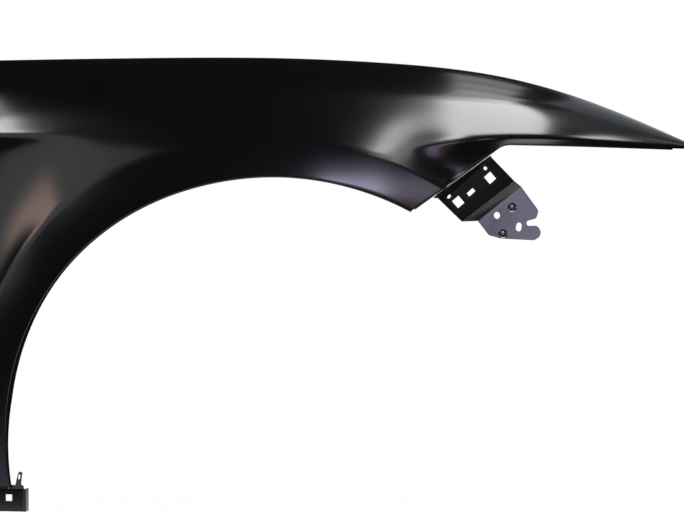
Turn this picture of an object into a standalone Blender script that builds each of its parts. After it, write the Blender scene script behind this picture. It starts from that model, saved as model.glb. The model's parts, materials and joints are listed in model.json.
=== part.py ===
"""Right-hand front fender of a passenger car: a stamped steel skin and its two welded mounting brackets.

Units are metres. +X points to the front of the car, +Z is up and +Y points inboard, so the painted face of the
skin looks towards -Y. The form is worked out about the wheel centre, and the finished pieces are then moved so
that the origin lies under the bolt pad of the hood-side flange above the wheel.
"""
import math

import bmesh
import bpy
import numpy as np
from mathutils import Matrix, Vector

# Driving sizes of the skin, measured from the wheel centre and from the plane of the widest point
ARCH_RADIUS = 0.3713
REAR_REACH = 0.600
FRONT_REACH = 0.640
CREST_HEIGHT = 0.5533
LINE_HEIGHT = 0.4290
FOOT_DROP = 0.065
TIP_INSET = 0.262
SHEET = 0.0008

# Side view and plan of the skin, as shares of the reaches, heights and inset above
LENGTH_SHARES = (-1.0, -0.667, -0.333, 0.0, 0.25, 0.5, 0.75, 1.0)
CREST_SHARES = (0.988, 0.995, 0.9993, 0.998, 0.9873, 0.956, 0.884, 0.775)
LINE_SHARES = (1.0, 1.003, 1.001, 0.997, 0.972, 1.002, 1.001, 0.9945)
PLAN_SHARES = (0.145, 0.107, 0.069, 0.046, 0.074, 0.233, 0.561, 1.0)

# Wheel arch: edge of the opening and width of its band, at angles from straight up, towards the front
BAND_WIDTH = 0.0535
BAND_RISE = 0.0045
BAND_CURVE = 1.6
LIP_INSET = 0.010
ARCH_ANGLES = (-100.0, -75.0, -50.0, -33.0, -16.0, 0.0, 16.0, 34.0)
ARCH_SHARES = (1.017, 1.031, 1.033, 1.022, 1.007, 1.0, 1.0, 1.008)
BAND_SHARES = (0.90, 0.98, 1.18, 1.20, 1.05, 1.015, 1.0, 1.02)
LIP_INSET_SHARES = (0.9, 0.6, 0.25, 0.08, 0.0, 0.0, 0.35, 2.1)
ARCH_END_ANGLE = 30.6

# Shoulder above the line: slope at the line, depth at the crest for each unit of height, how late it turns over
SHOULDER_SLOPE = 0.22
REAR_SHOULDER_SLOPE = 0.50
SHOULDER_DEPTH_PER_HEIGHT = 1.02
CREST_POWER = 2.5

# Recess below the rear line, undercut below the front line and lean of the lower side
RECESS_DEPTH = 0.0075
RECESS_LENGTH = 0.024
SHOULDER_FADE_LENGTH = 0.060
UNDERCUT_SLOPE = 0.45
LOWER_LEAN = -0.03
CREASE_SOFTNESS = 0.0015
BAND_SOFTNESS = 0.0006
REAR_CREASE_FROM = -0.420
REAR_CREASE_TO = -0.220
FRONT_CREASE_FROM = 0.140
FRONT_CREASE_TO = 0.285

# How far the swelling around the arch spreads into the body
FLARE_LENGTH = 0.070

# Bumper seam, lamp edge, door edge
SEAM_ANGLE = 35.9
SEAM_FILLET = 0.035
LAMP_EDGE_HEIGHT = 0.4195
LAMP_EDGE_RISE = 0.0035
SEAM_STRIP = 0.0075
SEAM_STRIP_START = 0.006
SEAM_STRIP_LEAN = -0.04
DOOR_SLANT = 0.015

# Where the lofts leave the character line to meet the arch crease
REAR_MEET_ANGLE = -30.0
FRONT_MEET_ANGLE = 22.0
REAR_LEAVE = -0.300
FRONT_LEAVE = 0.235

# Return flanges of the skin
BEND_RADIUS = 0.0018
HOOD_WALL = 0.020
HOOD_WALL_LEAN = 15.0
HOOD_LEDGE = 0.014
HOOD_PAD_EXTRA = 0.014
HOOD_PAD_LENGTH = 0.084
ORIGIN_PLACE = 0.010
HOOD_PAD_PLACES = (-0.500, -0.250, ORIGIN_PLACE, 0.280)
HOOD_FLANGE_FROM = -0.590
HOOD_FLANGE_TO = 0.500
HOOD_BOLT_RADIUS = 0.0045
HOOD_BOLT_SLOT = 0.004
HOOD_BOLT_OFFSET = 0.012
ARCH_RETURN = 0.019
ARCH_RETURN_LEAN = 9.0
ARCH_LEAN_ANGLES = (-85.0, -45.0)
DOOR_RETURN = 0.012
DOOR_TAB_EXTRA = 0.020
DOOR_TAB_LENGTH = 0.076
DOOR_TAB_HEIGHTS = (0.330, 0.060)
DOOR_BOLT_RADIUS = 0.0045
FOOT_SHELF = 0.022
NOSE_EDGE_RETURN = 0.012
LAMP_RETURN_TO = 0.600

# Front bracket, in its own frame: along the seam, away from it, and inboard
BRACKET_SHEET = 0.0012
BRACKET_FROM = 0.228
BRACKET_WIDTH = 0.100
BRACKET_TAB = 0.013
BRACKET_BEND = 0.0010
PLATE_SETBACK = 0.005
PLATE_DEPTH = 0.050
JOGGLE_RUN = 0.014
JOGGLE_STEP = 0.008
LEAF_DEPTH = 0.072
LEAF_TILT = 8.0
LEAF_CORNER = 0.007
NOTCH_CORNER = 0.003
TAB_ENDS_SHARES = (0.02, 0.93)
STRIP_ENDS_SHARES = (-0.10, 0.975)
PLATE_TOP_SHARES = ((-0.03, 0.13), (0.985, 0.075))
PLATE_FOOT_SHARES = ((0.055, 1.05), (1.055, 1.0))
LEAF_TOP_SHARES = ((0.285, 0.02), (1.12, -0.028))
LEAF_OUTLINE_SHARES = ((1.145, 0.58), (1.05, 0.68), (0.915, 0.61), (0.87, 0.645), (0.885, 0.705), (1.0, 0.805),
                       (1.005, 0.95), (0.935, 1.02), (0.84, 1.01), (0.43, 0.58), (0.305, 0.38))
SQUARE_HOLE = 0.0132
SQUARE_HOLE_SHARES = ((0.182, 0.535), (0.785, 0.515))
SQUARE_TURN = -5.0
PILOT_RADIUS = 0.0028
PILOT_SHARES = (0.812, 0.215)
SMALL_SLOT = (0.0072, 0.0054)
SMALL_SLOT_SHARES = (0.117, 0.248)
LONG_HOLE = (0.0126, 0.0060)
LONG_HOLE_SHARES = (0.424, 0.527)
LEAF_HOLE_RADIUS = 0.005
LEAF_HOLE_SHARES = (0.572, 0.156)
LEAF_OVAL = (0.0128, 0.0090)
LEAF_OVAL_TURN = -43.0
LEAF_OVAL_SHARES = (0.755, 0.607)

# Lower bracket, in its own frame: back along the foot, inboard, and up
LOWER_SHEET = 0.0012
FOOT_FRONT_SHARE = 1.0127
FOOT_PLAN_ANGLE = 7.8
LOWER_LENGTH_SHARE = 0.718
LOWER_NOSE = 0.0216
LOWER_SETBACK = 0.004
LOWER_HEIGHT = 0.034
LOWER_BEND = 0.002
SHELF_START = 0.002
SHELF_DEPTH = 0.026
TAB_HEIGHT = 0.0245
TAB_LEAN = 20.0
TAB_NOSE_SHARES = ((0.93, 0.17), (0.73, 0.27), (0.735, 1.0), (0.50, 1.0), (0.43, 0.75), (0.36, 0.22))
TAB_ROOT_SHARES = (0.95, -0.04)
TAB_CORNER = 0.002
TAB_SLOT = (0.0072, 0.0030)
TAB_SLOT_SHARES = (0.56, 0.70)
NOSE_RETURN = 0.010
NOSE_RETURN_LEAN = 3.0
LOWER_SQUARE = 0.0104
LOWER_SQUARE_SHARES = (0.006, 0.86)
LOWER_SQUARE_DROP = 0.0147

# Gaps between welded pieces, and how far a cutter runs past both faces
WELD_GAP = 0.0003
CUT_OVERRUN = 0.004

# Facets of each direction of the lofts
REAR_COLUMNS = 18
MIDDLE_COLUMNS = 20
FRONT_COLUMNS = 5
SEAM_COLUMNS = 4
FILLET_COLUMNS = 4
TIP_COLUMNS = 14
SHOULDER_ROWS = 8
SIDE_ROWS = 24
BAND_ROWS = 3
FACET_ROWS = 3
BEND_STEPS = 2
CORNER_STEPS = 4
ROUND_STEPS = 16
ROW_CROWDING = 1.5

WELD = 0.00002
SHARP_ANGLE = 30.0
E_COAT_COLOUR = (0.012, 0.013, 0.014, 1.0)
E_COAT_ROUGHNESS = 0.32


class Curve:
    """Smooth curve through stations, straight beyond both ends."""

    def __init__(self, places, values):
        self.places = np.array(places, float)
        self.values = np.array(values, float)
        count = len(self.places)
        steps = np.diff(self.places)
        rises = np.diff(self.values) / steps
        system = np.eye(count)
        target = np.zeros(count)
        for i in range(1, count - 1):
            system[i, i - 1] = steps[i - 1]
            system[i, i] = 2 * (steps[i - 1] + steps[i])
            system[i, i + 1] = steps[i]
            target[i] = 3 * (rises[i] - rises[i - 1])
        self.bend = np.linalg.solve(system, target)
        self.slope = rises - steps * (2 * self.bend[:-1] + self.bend[1:]) / 3
        self.twist = (self.bend[1:] - self.bend[:-1]) / (3 * steps)

    def __call__(self, place):
        last = len(self.slope) - 1
        i = int(min(max(np.searchsorted(self.places, place) - 1, 0), last))
        inside = min(max(place, self.places[0]), self.places[-1])
        run = inside - self.places[i]
        value = self.values[i] + run * (self.slope[i] + run * (self.bend[i] + run * self.twist[i]))
        tangent = self.slope[i] + run * (2 * self.bend[i] + 3 * run * self.twist[i])
        return float(value + tangent * (place - inside))


def along(share):
    """Distance from the wheel centre for a share of the rear or front reach."""
    return share * (REAR_REACH if share < 0 else FRONT_REACH)


STATIONS = [along(share) for share in LENGTH_SHARES]
crest_height = Curve(STATIONS, [share * CREST_HEIGHT for share in CREST_SHARES])
line_height = Curve(STATIONS, [share * LINE_HEIGHT for share in LINE_SHARES])
line_inset = Curve(STATIONS, [share * TIP_INSET for share in PLAN_SHARES])
arch_radius = Curve(ARCH_ANGLES, [share * ARCH_RADIUS for share in ARCH_SHARES])
band_width = Curve(ARCH_ANGLES, [share * BAND_WIDTH for share in BAND_SHARES])
lip_inset = Curve(ARCH_ANGLES, [share * LIP_INSET for share in LIP_INSET_SHARES])


def ease(value, low, high):
    """0 at low, 1 at high, smooth between."""
    share = min(max((value - low) / (high - low), 0.0), 1.0)
    return share * share * share * (share * (6 * share - 15) + 10)


def soft_ramp(value, softness):
    """0 below zero, the value above zero, with a rounded corner."""
    ratio = value / softness
    if ratio > 30:
        return value
    return softness * math.log1p(math.exp(ratio))


def soft_step(value, softness):
    """0 well below zero and 1 well above it."""
    ratio = min(max(value / softness, -30), 30)
    return 1 / (1 + math.exp(-ratio))


def lip_radius(angle):
    """Radius where the band ends and the bend of the arch return starts."""
    return arch_radius(angle) + BEND_RADIUS


def crease_radius(angle):
    """Radius of the band's outer crease."""
    return arch_radius(angle) + band_width(angle)


def body_inset(x, z):
    """Depth of the body side, without the swelling around the arch."""
    rear_crease = 1 - ease(x, REAR_CREASE_FROM, REAR_CREASE_TO)
    front_crease = ease(x, FRONT_CREASE_FROM, FRONT_CREASE_TO)
    line = line_height(x)
    height = max(crest_height(x) - line, SHEET)
    slope = SHOULDER_SLOPE + (REAR_SHOULDER_SLOPE - SHOULDER_SLOPE) * rear_crease
    above = soft_ramp(z - line, CREASE_SOFTNESS)
    below = soft_ramp(line - z, CREASE_SOFTNESS)
    share = above / height
    turned = (SHOULDER_DEPTH_PER_HEIGHT - slope) * share ** (CREST_POWER + 1)
    shoulder = height * (slope * share + turned)
    smooth = max(1 - rear_crease - front_crease, 0.0)
    flowing = -smooth * slope * SHOULDER_FADE_LENGTH * (1 - math.exp(-below / SHOULDER_FADE_LENGTH))
    recess = rear_crease * RECESS_DEPTH * (1 - math.exp(-below / RECESS_LENGTH))
    undercut = front_crease * UNDERCUT_SLOPE * below
    lean = (1 - front_crease) * LOWER_LEAN * below
    return line_inset(x) + shoulder + flowing + recess + undercut + lean


def band_inset(radius, angle):
    """Depth of the flat band that frames the wheel opening."""
    share = max((radius - arch_radius(angle)) / band_width(angle), 0.0)
    return lip_inset(angle) + BAND_RISE * share ** BAND_CURVE


def arch_place(radius, angle):
    """Place in the side view, at a radius and an angle about the wheel centre."""
    turned = math.radians(angle)
    return radius * math.sin(turned), radius * math.cos(turned)


def crease_place(angle):
    return arch_place(crease_radius(angle), angle)


def skin_inset(x, z):
    """Depth of the finished skin at a place in the side view."""
    radius = math.hypot(x, z)
    angle = math.degrees(math.atan2(x, z))
    crease = crease_radius(angle)
    outside = radius - crease
    band = band_inset(radius, angle)
    share = soft_step(outside, BAND_SOFTNESS)
    if share < WELD:
        return band
    swelling = body_inset(*crease_place(angle)) - band_inset(crease, angle)
    body = body_inset(x, z) - swelling * math.exp(-outside / FLARE_LENGTH)
    return share * body + (1 - share) * band


def skin_point(x, z):
    return Vector((x, skin_inset(x, z), z))


def solve(function, low, high):
    """Where a rising function crosses zero."""
    for _ in range(50):
        middle = (low + high) / 2
        if function(middle) < 0:
            low = middle
        else:
            high = middle
    return (low + high) / 2


def foot_angle(radius_at):
    """Angle where an arch curve meets the foot's edge."""
    return solve(lambda angle: arch_place(radius_at(angle), angle)[1] + FOOT_DROP - BEND_RADIUS, -120.0, -80.0)


def crease_height(x):
    """Height of the arch crease above a place along the car, for the top of the arch."""
    angle = solve(lambda trial: crease_place(trial)[0] - x, -60.0, 60.0)
    return crease_place(angle)[1]


def seam_height(x):
    """Height of the straight bumper seam, set back for the bend of its return."""
    end_x, end_z = arch_place(arch_radius(ARCH_END_ANGLE), ARCH_END_ANGLE)
    lift = BEND_RADIUS / math.cos(math.radians(SEAM_ANGLE))
    return end_z + lift + math.tan(math.radians(SEAM_ANGLE)) * (x - end_x)


def seam_angle_on(radius_at):
    """Angle where an arch curve meets the bumper seam."""
    def past_seam(angle):
        x, z = arch_place(radius_at(angle), angle)
        return seam_height(x) - z
    return solve(past_seam, 15.0, 50.0)


def spread(low, high, count):
    return [low + (high - low) * i / count for i in range(count + 1)]


LIP_END_ANGLE = seam_angle_on(lip_radius)
BAND_END_ANGLE = seam_angle_on(crease_radius)
REAR_MEET_X = crease_place(REAR_MEET_ANGLE)[0]
FRONT_MEET_X = crease_place(FRONT_MEET_ANGLE)[0]
BAND_END_X = crease_place(BAND_END_ANGLE)[0]


def lamp_corner():
    """Where the bumper seam would meet the lamp edge, and the length of the fillet on each side."""
    level = LAMP_EDGE_HEIGHT + BEND_RADIUS
    corner = BAND_END_X + (level - seam_height(BAND_END_X)) / math.tan(math.radians(SEAM_ANGLE))
    return corner, SEAM_FILLET * math.tan(math.radians(SEAM_ANGLE) / 2)


CORNER_X, CORNER_TANGENT = lamp_corner()
FILLET_FROM = CORNER_X - CORNER_TANGENT * math.cos(math.radians(SEAM_ANGLE))
FILLET_TO = CORNER_X + CORNER_TANGENT


def shoulder_foot(x):
    """Lower border of the shoulder loft: character line, arch crease, character line."""
    if x <= REAR_MEET_X:
        share = max((x - REAR_LEAVE) / (REAR_MEET_X - REAR_LEAVE), 0.0)
        drop = line_height(REAR_MEET_X) - crease_place(REAR_MEET_ANGLE)[1]
        return line_height(x) - drop * share ** 2
    if x < FRONT_MEET_X:
        return crease_height(x)
    share = max((FRONT_LEAVE - x) / (FRONT_LEAVE - FRONT_MEET_X), 0.0)
    drop = line_height(FRONT_MEET_X) - crease_place(FRONT_MEET_ANGLE)[1]
    return line_height(x) - drop * share ** 2


def nose_edge(x):
    """Lower edge ahead of the arch: bumper seam, rounded corner, lamp edge."""
    if x <= FILLET_FROM:
        return seam_height(x)
    level = LAMP_EDGE_HEIGHT + BEND_RADIUS
    if x >= FILLET_TO:
        return level + LAMP_EDGE_RISE * (x - FILLET_TO) / (FRONT_REACH - FILLET_TO)
    return level - SEAM_FILLET + math.sqrt(SEAM_FILLET ** 2 - (FILLET_TO - x) ** 2)


def seam_strip(x):
    """Height of the flat strip along the bumper seam, which tapers towards the lamp."""
    grown = ease(x, BAND_END_X, BAND_END_X + SEAM_STRIP_START)
    return SEAM_STRIP * grown * max((FILLET_FROM - x) / (FILLET_FROM - BAND_END_X), 0.0)


def shoulder_columns():
    """Places along the car of the shoulder's columns, from the door edge to the tip."""
    rear = spread(-REAR_REACH, REAR_MEET_X, REAR_COLUMNS)
    middle_angles = spread(REAR_MEET_ANGLE, FRONT_MEET_ANGLE, MIDDLE_COLUMNS)
    front_angles = spread(FRONT_MEET_ANGLE, BAND_END_ANGLE, FRONT_COLUMNS)
    middle = [crease_place(angle)[0] for angle in middle_angles[1:]]
    front = [crease_place(angle)[0] for angle in front_angles[1:]]
    seam = spread(BAND_END_X, BAND_END_X + SEAM_STRIP_START, 1)[1:]
    seam += spread(BAND_END_X + SEAM_STRIP_START, FILLET_FROM, SEAM_COLUMNS)[1:]
    fillet = spread(FILLET_FROM, FILLET_TO, FILLET_COLUMNS)[1:]
    tip = spread(FILLET_TO, FRONT_REACH, TIP_COLUMNS)[1:]
    return rear + middle + front + seam + fillet + tip


def shoulder_loft():
    """Rows of points from the shoulder's lower border up to the crest."""
    columns = shoulder_columns()
    rows = []
    for j in range(SHOULDER_ROWS + 1):
        share = 1 - (1 - j / SHOULDER_ROWS) ** ROW_CROWDING
        heights = [(1 - share) * shoulder_foot(x) + share * crest_height(x) for x in columns]
        rows.append([skin_point(x, z) for x, z in zip(columns, heights)])
    return rows


def side_loft():
    """Leg and rear side, between the line, the arch crease, the foot and the door edge."""
    top = [(x, shoulder_foot(x)) for x in spread(-REAR_REACH, REAR_MEET_X, REAR_COLUMNS)]
    low_angle = foot_angle(crease_radius)
    right = [crease_place(angle) for angle in spread(REAR_MEET_ANGLE, low_angle, SIDE_ROWS)]
    left_foot = (-REAR_REACH + DOOR_SLANT, right[-1][1])
    left = [mix(top[0], left_foot, j / SIDE_ROWS) for j in range(SIDE_ROWS + 1)]
    bottom = [mix(left_foot, right[-1], i / REAR_COLUMNS) for i in range(REAR_COLUMNS + 1)]
    rows = []
    for j in range(SIDE_ROWS + 1):
        v = j / SIDE_ROWS
        row = []
        for i in range(REAR_COLUMNS + 1):
            u = i / REAR_COLUMNS
            across = mix(left[j], right[j], u)
            down = mix(top[i], bottom[i], v)
            corners = mix(mix(top[0], top[-1], u), mix(left_foot, right[-1], u), v)
            row.append(skin_point(*[a + b - c for a, b, c in zip(across, down, corners)]))
        rows.append(row)
    return rows


def facet_loft():
    """Undercut facet ahead of the arch and the roll along the lamp edge."""
    columns = [x for x in shoulder_columns() if x >= FRONT_MEET_X - WELD]
    edges = [crease_height(x) if x <= BAND_END_X + WELD else nose_edge(x) for x in columns]
    lines = [low + seam_strip(x) for x, low in zip(columns, edges)]
    rows = []
    for j in range(FACET_ROWS + 1):
        share = j / FACET_ROWS
        heights = [(1 - share) * line + share * shoulder_foot(x) for x, line in zip(columns, lines)]
        rows.append([skin_point(x, z) for x, z in zip(columns, heights)])
    strip = []
    for x, low, start in zip(columns, edges, rows[0]):
        inset = start.y + SEAM_STRIP_LEAN * (start.z - low)
        strip.append(Vector((x, inset, low)))
    return [strip] + rows


def band_loft():
    """Band around the wheel opening, from the foot to the bumper seam."""
    low_crease = foot_angle(crease_radius)
    low_lip = foot_angle(lip_radius)
    angles = spread(low_crease, REAR_MEET_ANGLE, SIDE_ROWS)
    angles += spread(REAR_MEET_ANGLE, FRONT_MEET_ANGLE, MIDDLE_COLUMNS)[1:]
    angles += spread(FRONT_MEET_ANGLE, BAND_END_ANGLE, FRONT_COLUMNS)[1:]
    rows = []
    for j in range(BAND_ROWS + 1):
        row = []
        for outer in angles:
            progress = (outer - low_crease) / (BAND_END_ANGLE - low_crease)
            inner = low_lip + (LIP_END_ANGLE - low_lip) * progress
            lip = arch_place(lip_radius(inner), inner)
            row.append(skin_point(*mix(lip, crease_place(outer), j / BAND_ROWS)))
        rows.append(row)
    return rows


def mix(low, high, share):
    """Point a share of the way from one point to another."""
    return tuple((1 - share) * a + share * b for a, b in zip(low, high))


def turn(start, heading, target, radius):
    """Points of a bend from one heading to another, after the start."""
    side = (target - heading * target.dot(heading)).normalized()
    angle = heading.angle(target)
    points = []
    for k in range(1, BEND_STEPS + 1):
        swept = angle * k / BEND_STEPS
        points.append(start + radius * (math.sin(swept) * heading + (1 - math.cos(swept)) * side))
    return points


def edge_headings(border, inner):
    """At each border point, the direction that carries the skin on past its edge."""
    headings = []
    for i, point in enumerate(border):
        before = border[max(i - 1, 0)]
        after = border[min(i + 1, len(border) - 1)]
        tangent = (after - before).normalized()
        outward = point - inner[i]
        outward -= tangent * outward.dot(tangent)
        headings.append(outward.normalized())
    return headings


def return_flange(border, inner, width_at, lean_at=lambda _: 0.0):
    """Rows of one bend and one flat return that runs inboard, leaning on past the edge by some degrees."""
    inboard = Vector((0, 1, 0))
    lines = []
    for i, heading in enumerate(edge_headings(border, inner)):
        slant = math.radians(lean_at(i))
        level = (heading - inboard * heading.dot(inboard)).normalized()
        target = inboard * math.cos(slant) + level * math.sin(slant)
        line = turn(border[i], heading, target, BEND_RADIUS)
        line.append(line[-1] + target * width_at(i))
        lines.append(line)
    return [list(border)] + [list(row) for row in zip(*lines)]


def hood_ledge_height(x):
    """Height of the hood-side ledge: level at each bolt pad, sloping between them."""
    half = HOOD_PAD_LENGTH / 2
    places = [-REAR_REACH]
    heights = [crest_height(-REAR_REACH) - HOOD_WALL]
    for centre in HOOD_PAD_PLACES:
        level = crest_height(centre) - HOOD_WALL
        places += [centre - half, centre + half]
        heights += [level, level]
    places.append(FRONT_REACH)
    heights.append(crest_height(FRONT_REACH) - HOOD_WALL)
    return float(np.interp(x, places, heights))


def hood_ledge_width(x):
    """Width of the ledge, with an ear at each bolt pad."""
    half = HOOD_PAD_LENGTH / 2
    ears = [1 - ease(abs(x - centre), half - HOOD_PAD_EXTRA, half) for centre in HOOD_PAD_PLACES]
    taper = 1 - ease(x, HOOD_PAD_PLACES[-1] + half, HOOD_FLANGE_TO) / 2
    return HOOD_LEDGE * taper + HOOD_PAD_EXTRA * max(ears)


def hood_flange(crest, inner):
    """Bend, wall, bend and ledge along the crest, on the side of the hood."""
    lean = math.radians(HOOD_WALL_LEAN)
    up = Vector((0, 0, 1))
    lines = []
    for i, heading in enumerate(edge_headings(crest, inner)):
        before = crest[max(i - 1, 0)]
        after = crest[min(i + 1, len(crest) - 1)]
        inboard = up.cross(after - before).normalized()
        down = inboard * math.sin(lean) - up * math.cos(lean)
        first = turn(crest[i], heading, down, BEND_RADIUS)
        second = turn(first[-1], down, inboard, BEND_RADIUS)
        spare = second[-1].z - hood_ledge_height(crest[i].x)
        wall = down * (spare / math.cos(lean))
        lowered = [point + wall for point in [first[-1]] + second]
        width = hood_ledge_width(crest[i].x)
        lines.append(first + lowered + [lowered[-1] + inboard * width])
    return [list(crest)] + [list(row) for row in zip(*lines)]


def crest_run(shoulder):
    """Stretch of the crest that carries the hood-side flange, and the row of points below it."""
    keep = [i for i, point in enumerate(shoulder[-1]) if HOOD_FLANGE_FROM < point.x < HOOD_FLANGE_TO]
    return [shoulder[-1][i] for i in keep], [shoulder[-2][i] for i in keep]


def arch_flange(band):
    """Return around the wheel opening, narrower at both ends, and leaning out along the leg."""
    lip = band[0]
    taper = len(lip) // 8

    def width_at(i):
        return ARCH_RETURN * min(1.0, (min(i, len(lip) - 1 - i) + 1) / (taper + 1))

    def lean_at(i):
        angle = math.degrees(math.atan2(lip[i].x, lip[i].z))
        return ARCH_RETURN_LEAN * (1 - ease(angle, *ARCH_LEAN_ANGLES))
    return return_flange(lip, band[1], width_at, lean_at)


def door_flange(shoulder, side):
    """Return along the door edge, with a bolt tab at each named height."""
    door = ([row[0] for row in shoulder[::-1]] + [row[0] for row in side[1:]])[1:-1]
    inner = ([row[1] for row in shoulder[::-1]] + [row[1] for row in side[1:]])[1:-1]
    half = DOOR_TAB_LENGTH / 2

    def width_at(i):
        tabs = [1 - ease(abs(door[i].z - height), half / 2, half) for height in DOOR_TAB_HEIGHTS]
        return DOOR_RETURN + DOOR_TAB_EXTRA * max(tabs)
    return return_flange(door, inner, width_at)


def nose_flange(band, facet):
    """Return along the bumper seam, around its rounded corner and along the lamp edge."""
    edge = [row[-1] for row in band[1:]]
    inner = [row[-2] for row in band[1:]]
    for point, near in zip(facet[0], facet[2]):
        if BAND_END_X + WELD < point.x < LAMP_RETURN_TO:
            edge.append(point)
            inner.append(near)
    return return_flange(edge, inner, lambda _: NOSE_EDGE_RETURN)


def ledge_place(hood, x):
    """Point on the ledge's upper face, midway between its bend and its free edge."""
    for i in range(len(hood[-1]) - 1):
        low = (hood[-2][i] + hood[-1][i]) / 2
        high = (hood[-2][i + 1] + hood[-1][i + 1]) / 2
        if low.x <= x < high.x:
            return low.lerp(high, (x - low.x) / (high.x - low.x))
    return (hood[-2][0] + hood[-1][0]) / 2


def add_loft(mesh, rows):
    """Adds a loft of quads, or triangles where two corners meet."""
    grid = [[mesh.verts.new(point) for point in row] for row in rows]
    for low, high in zip(grid, grid[1:]):
        for i in range(len(low) - 1):
            kept = []
            for vert in (low[i], low[i + 1], high[i + 1], high[i]):
                if all((vert.co - other.co).length > WELD for other in kept):
                    kept.append(vert)
            if len(kept) > 2:
                mesh.faces.new(kept)


def e_coat(name):
    """Semi-gloss black primer."""
    material = bpy.data.materials.new(name)
    material.use_nodes = True
    shader = material.node_tree.nodes["Principled BSDF"]
    shader.inputs["Base Color"].default_value = E_COAT_COLOUR
    shader.inputs["Roughness"].default_value = E_COAT_ROUGHNESS
    return material


def mesh_object(name, mesh):
    data = bpy.data.meshes.new(name)
    mesh.to_mesh(data)
    mesh.free()
    piece = bpy.data.objects.new(name, data)
    bpy.context.scene.collection.objects.link(piece)
    return piece


def sheet_object(name, mesh, thickness, outward):
    """Solid of even thickness behind an open sheet whose drawn side looks outward."""
    bmesh.ops.remove_doubles(mesh, verts=mesh.verts, dist=WELD)
    loose = [vert for vert in mesh.verts if not vert.link_faces]
    bmesh.ops.delete(mesh, geom=loose, context='VERTS')
    bmesh.ops.recalc_face_normals(mesh, faces=mesh.faces)
    if sum(face.normal.dot(outward) * face.calc_area() for face in mesh.faces) < 0:
        bmesh.ops.reverse_faces(mesh, faces=mesh.faces)
    piece = mesh_object(name, mesh)
    piece.data.shade_smooth()
    piece.data.set_sharp_from_angle(angle=math.radians(SHARP_ANGLE))
    piece.data.materials.append(e_coat(name + "_coat"))
    shell = piece.modifiers.new("sheet", 'SOLIDIFY')
    shell.thickness = thickness
    shell.offset = -1
    shell.use_even_offset = True
    return piece


def rounded_hole(length, width, corner):
    """Outline of a hole, long side first, with round corners; a full round where the corner is half its width."""
    points = []
    reach_x = length / 2 - corner
    reach_y = width / 2 - corner
    for quarter in range(4):
        middle = Vector((reach_x if quarter in (0, 3) else -reach_x, reach_y if quarter < 2 else -reach_y))
        for k in range(CORNER_STEPS + 1):
            angle = math.pi / 2 * (quarter + k / CORNER_STEPS)
            points.append(middle + corner * Vector((math.cos(angle), math.sin(angle))))
    return points


def round_hole(radius):
    angles = [2 * math.pi * k / ROUND_STEPS for k in range(ROUND_STEPS)]
    return [radius * Vector((math.cos(angle), math.sin(angle))) for angle in angles]


def add_prism(mesh, outline, frame, low, high):
    """Adds a closed prism; the frame's third axis is the way through the sheet."""
    bottom = [mesh.verts.new(frame @ Vector((point.x, point.y, low))) for point in distinct(outline)]
    top = [mesh.verts.new(frame @ Vector((point.x, point.y, high))) for point in distinct(outline)]
    mesh.faces.new(bottom[::-1])
    mesh.faces.new(top)
    for i in range(len(bottom)):
        after = (i + 1) % len(bottom)
        mesh.faces.new((bottom[i], bottom[after], top[after], top[i]))


def distinct(outline):
    """The outline without points that fall on the one before."""
    return [point for i, point in enumerate(outline) if (point - outline[i - 1]).length > WELD]


def cut(piece, mesh):
    """Cuts closed prisms out of a piece."""
    bmesh.ops.recalc_face_normals(mesh, faces=mesh.faces)
    cutter = mesh_object(piece.name + "_cutter", mesh)
    cutter.hide_render = True
    cutter.display_type = 'WIRE'
    holes = piece.modifiers.new("holes", 'BOOLEAN')
    holes.operation = 'DIFFERENCE'
    holes.solver = 'EXACT'
    holes.object = cutter


def frame_at(origin, first, second):
    """Matrix whose axes are the first direction, the second and their cross product."""
    matrix = Matrix((first, second, first.cross(second))).transposed().to_4x4()
    matrix.translation = origin
    return matrix


def spun(frame, x, y, angle=0.0):
    """The frame moved in its own plane and turned about its third axis."""
    return frame @ Matrix.Translation((x, y, 0)) @ Matrix.Rotation(math.radians(angle), 4, 'Z')


def panel_holes(hood, door):
    """Bolt slots through the hood-side pads and bolt holes through the door tabs."""
    mesh = bmesh.new()
    slot = rounded_hole(2 * HOOD_BOLT_RADIUS + HOOD_BOLT_SLOT, 2 * HOOD_BOLT_RADIUS, HOOD_BOLT_RADIUS)
    for centre in HOOD_PAD_PLACES:
        place = ledge_place(hood, centre + HOOD_BOLT_OFFSET)
        frame = frame_at(place, Vector((1, 0, 0)), Vector((0, 1, 0)))
        add_prism(mesh, slot, frame, -CUT_OVERRUN, CUT_OVERRUN)
    for height in DOOR_TAB_HEIGHTS:
        i = min(range(len(door[-1])), key=lambda index: abs(door[-1][index].z - height))
        place = (door[-2][i] + door[-1][i]) / 2
        frame = frame_at(place, Vector((0, 1, 0)), Vector((0, 0, 1)))
        add_prism(mesh, round_hole(DOOR_BOLT_RADIUS), frame, -CUT_OVERRUN, CUT_OVERRUN)
    return mesh


def make_panel():
    """The stamped skin; gives the piece and the rows of its hood-side flange."""
    shoulder = shoulder_loft()
    side = side_loft()
    facet = facet_loft()
    band = band_loft()
    hood = hood_flange(*crest_run(shoulder))
    door = door_flange(shoulder, side)
    foot = return_flange(side[-1][1:-1], side[-2][1:-1], lambda _: FOOT_SHELF)
    mesh = bmesh.new()
    for rows in (shoulder, side, facet, band, hood, door, foot, arch_flange(band), nose_flange(band, facet)):
        add_loft(mesh, rows)
    piece = sheet_object("fender_panel", mesh, SHEET, Vector((0, -1, 0)))
    cut(piece, panel_holes(hood, door))
    return piece, hood


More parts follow.
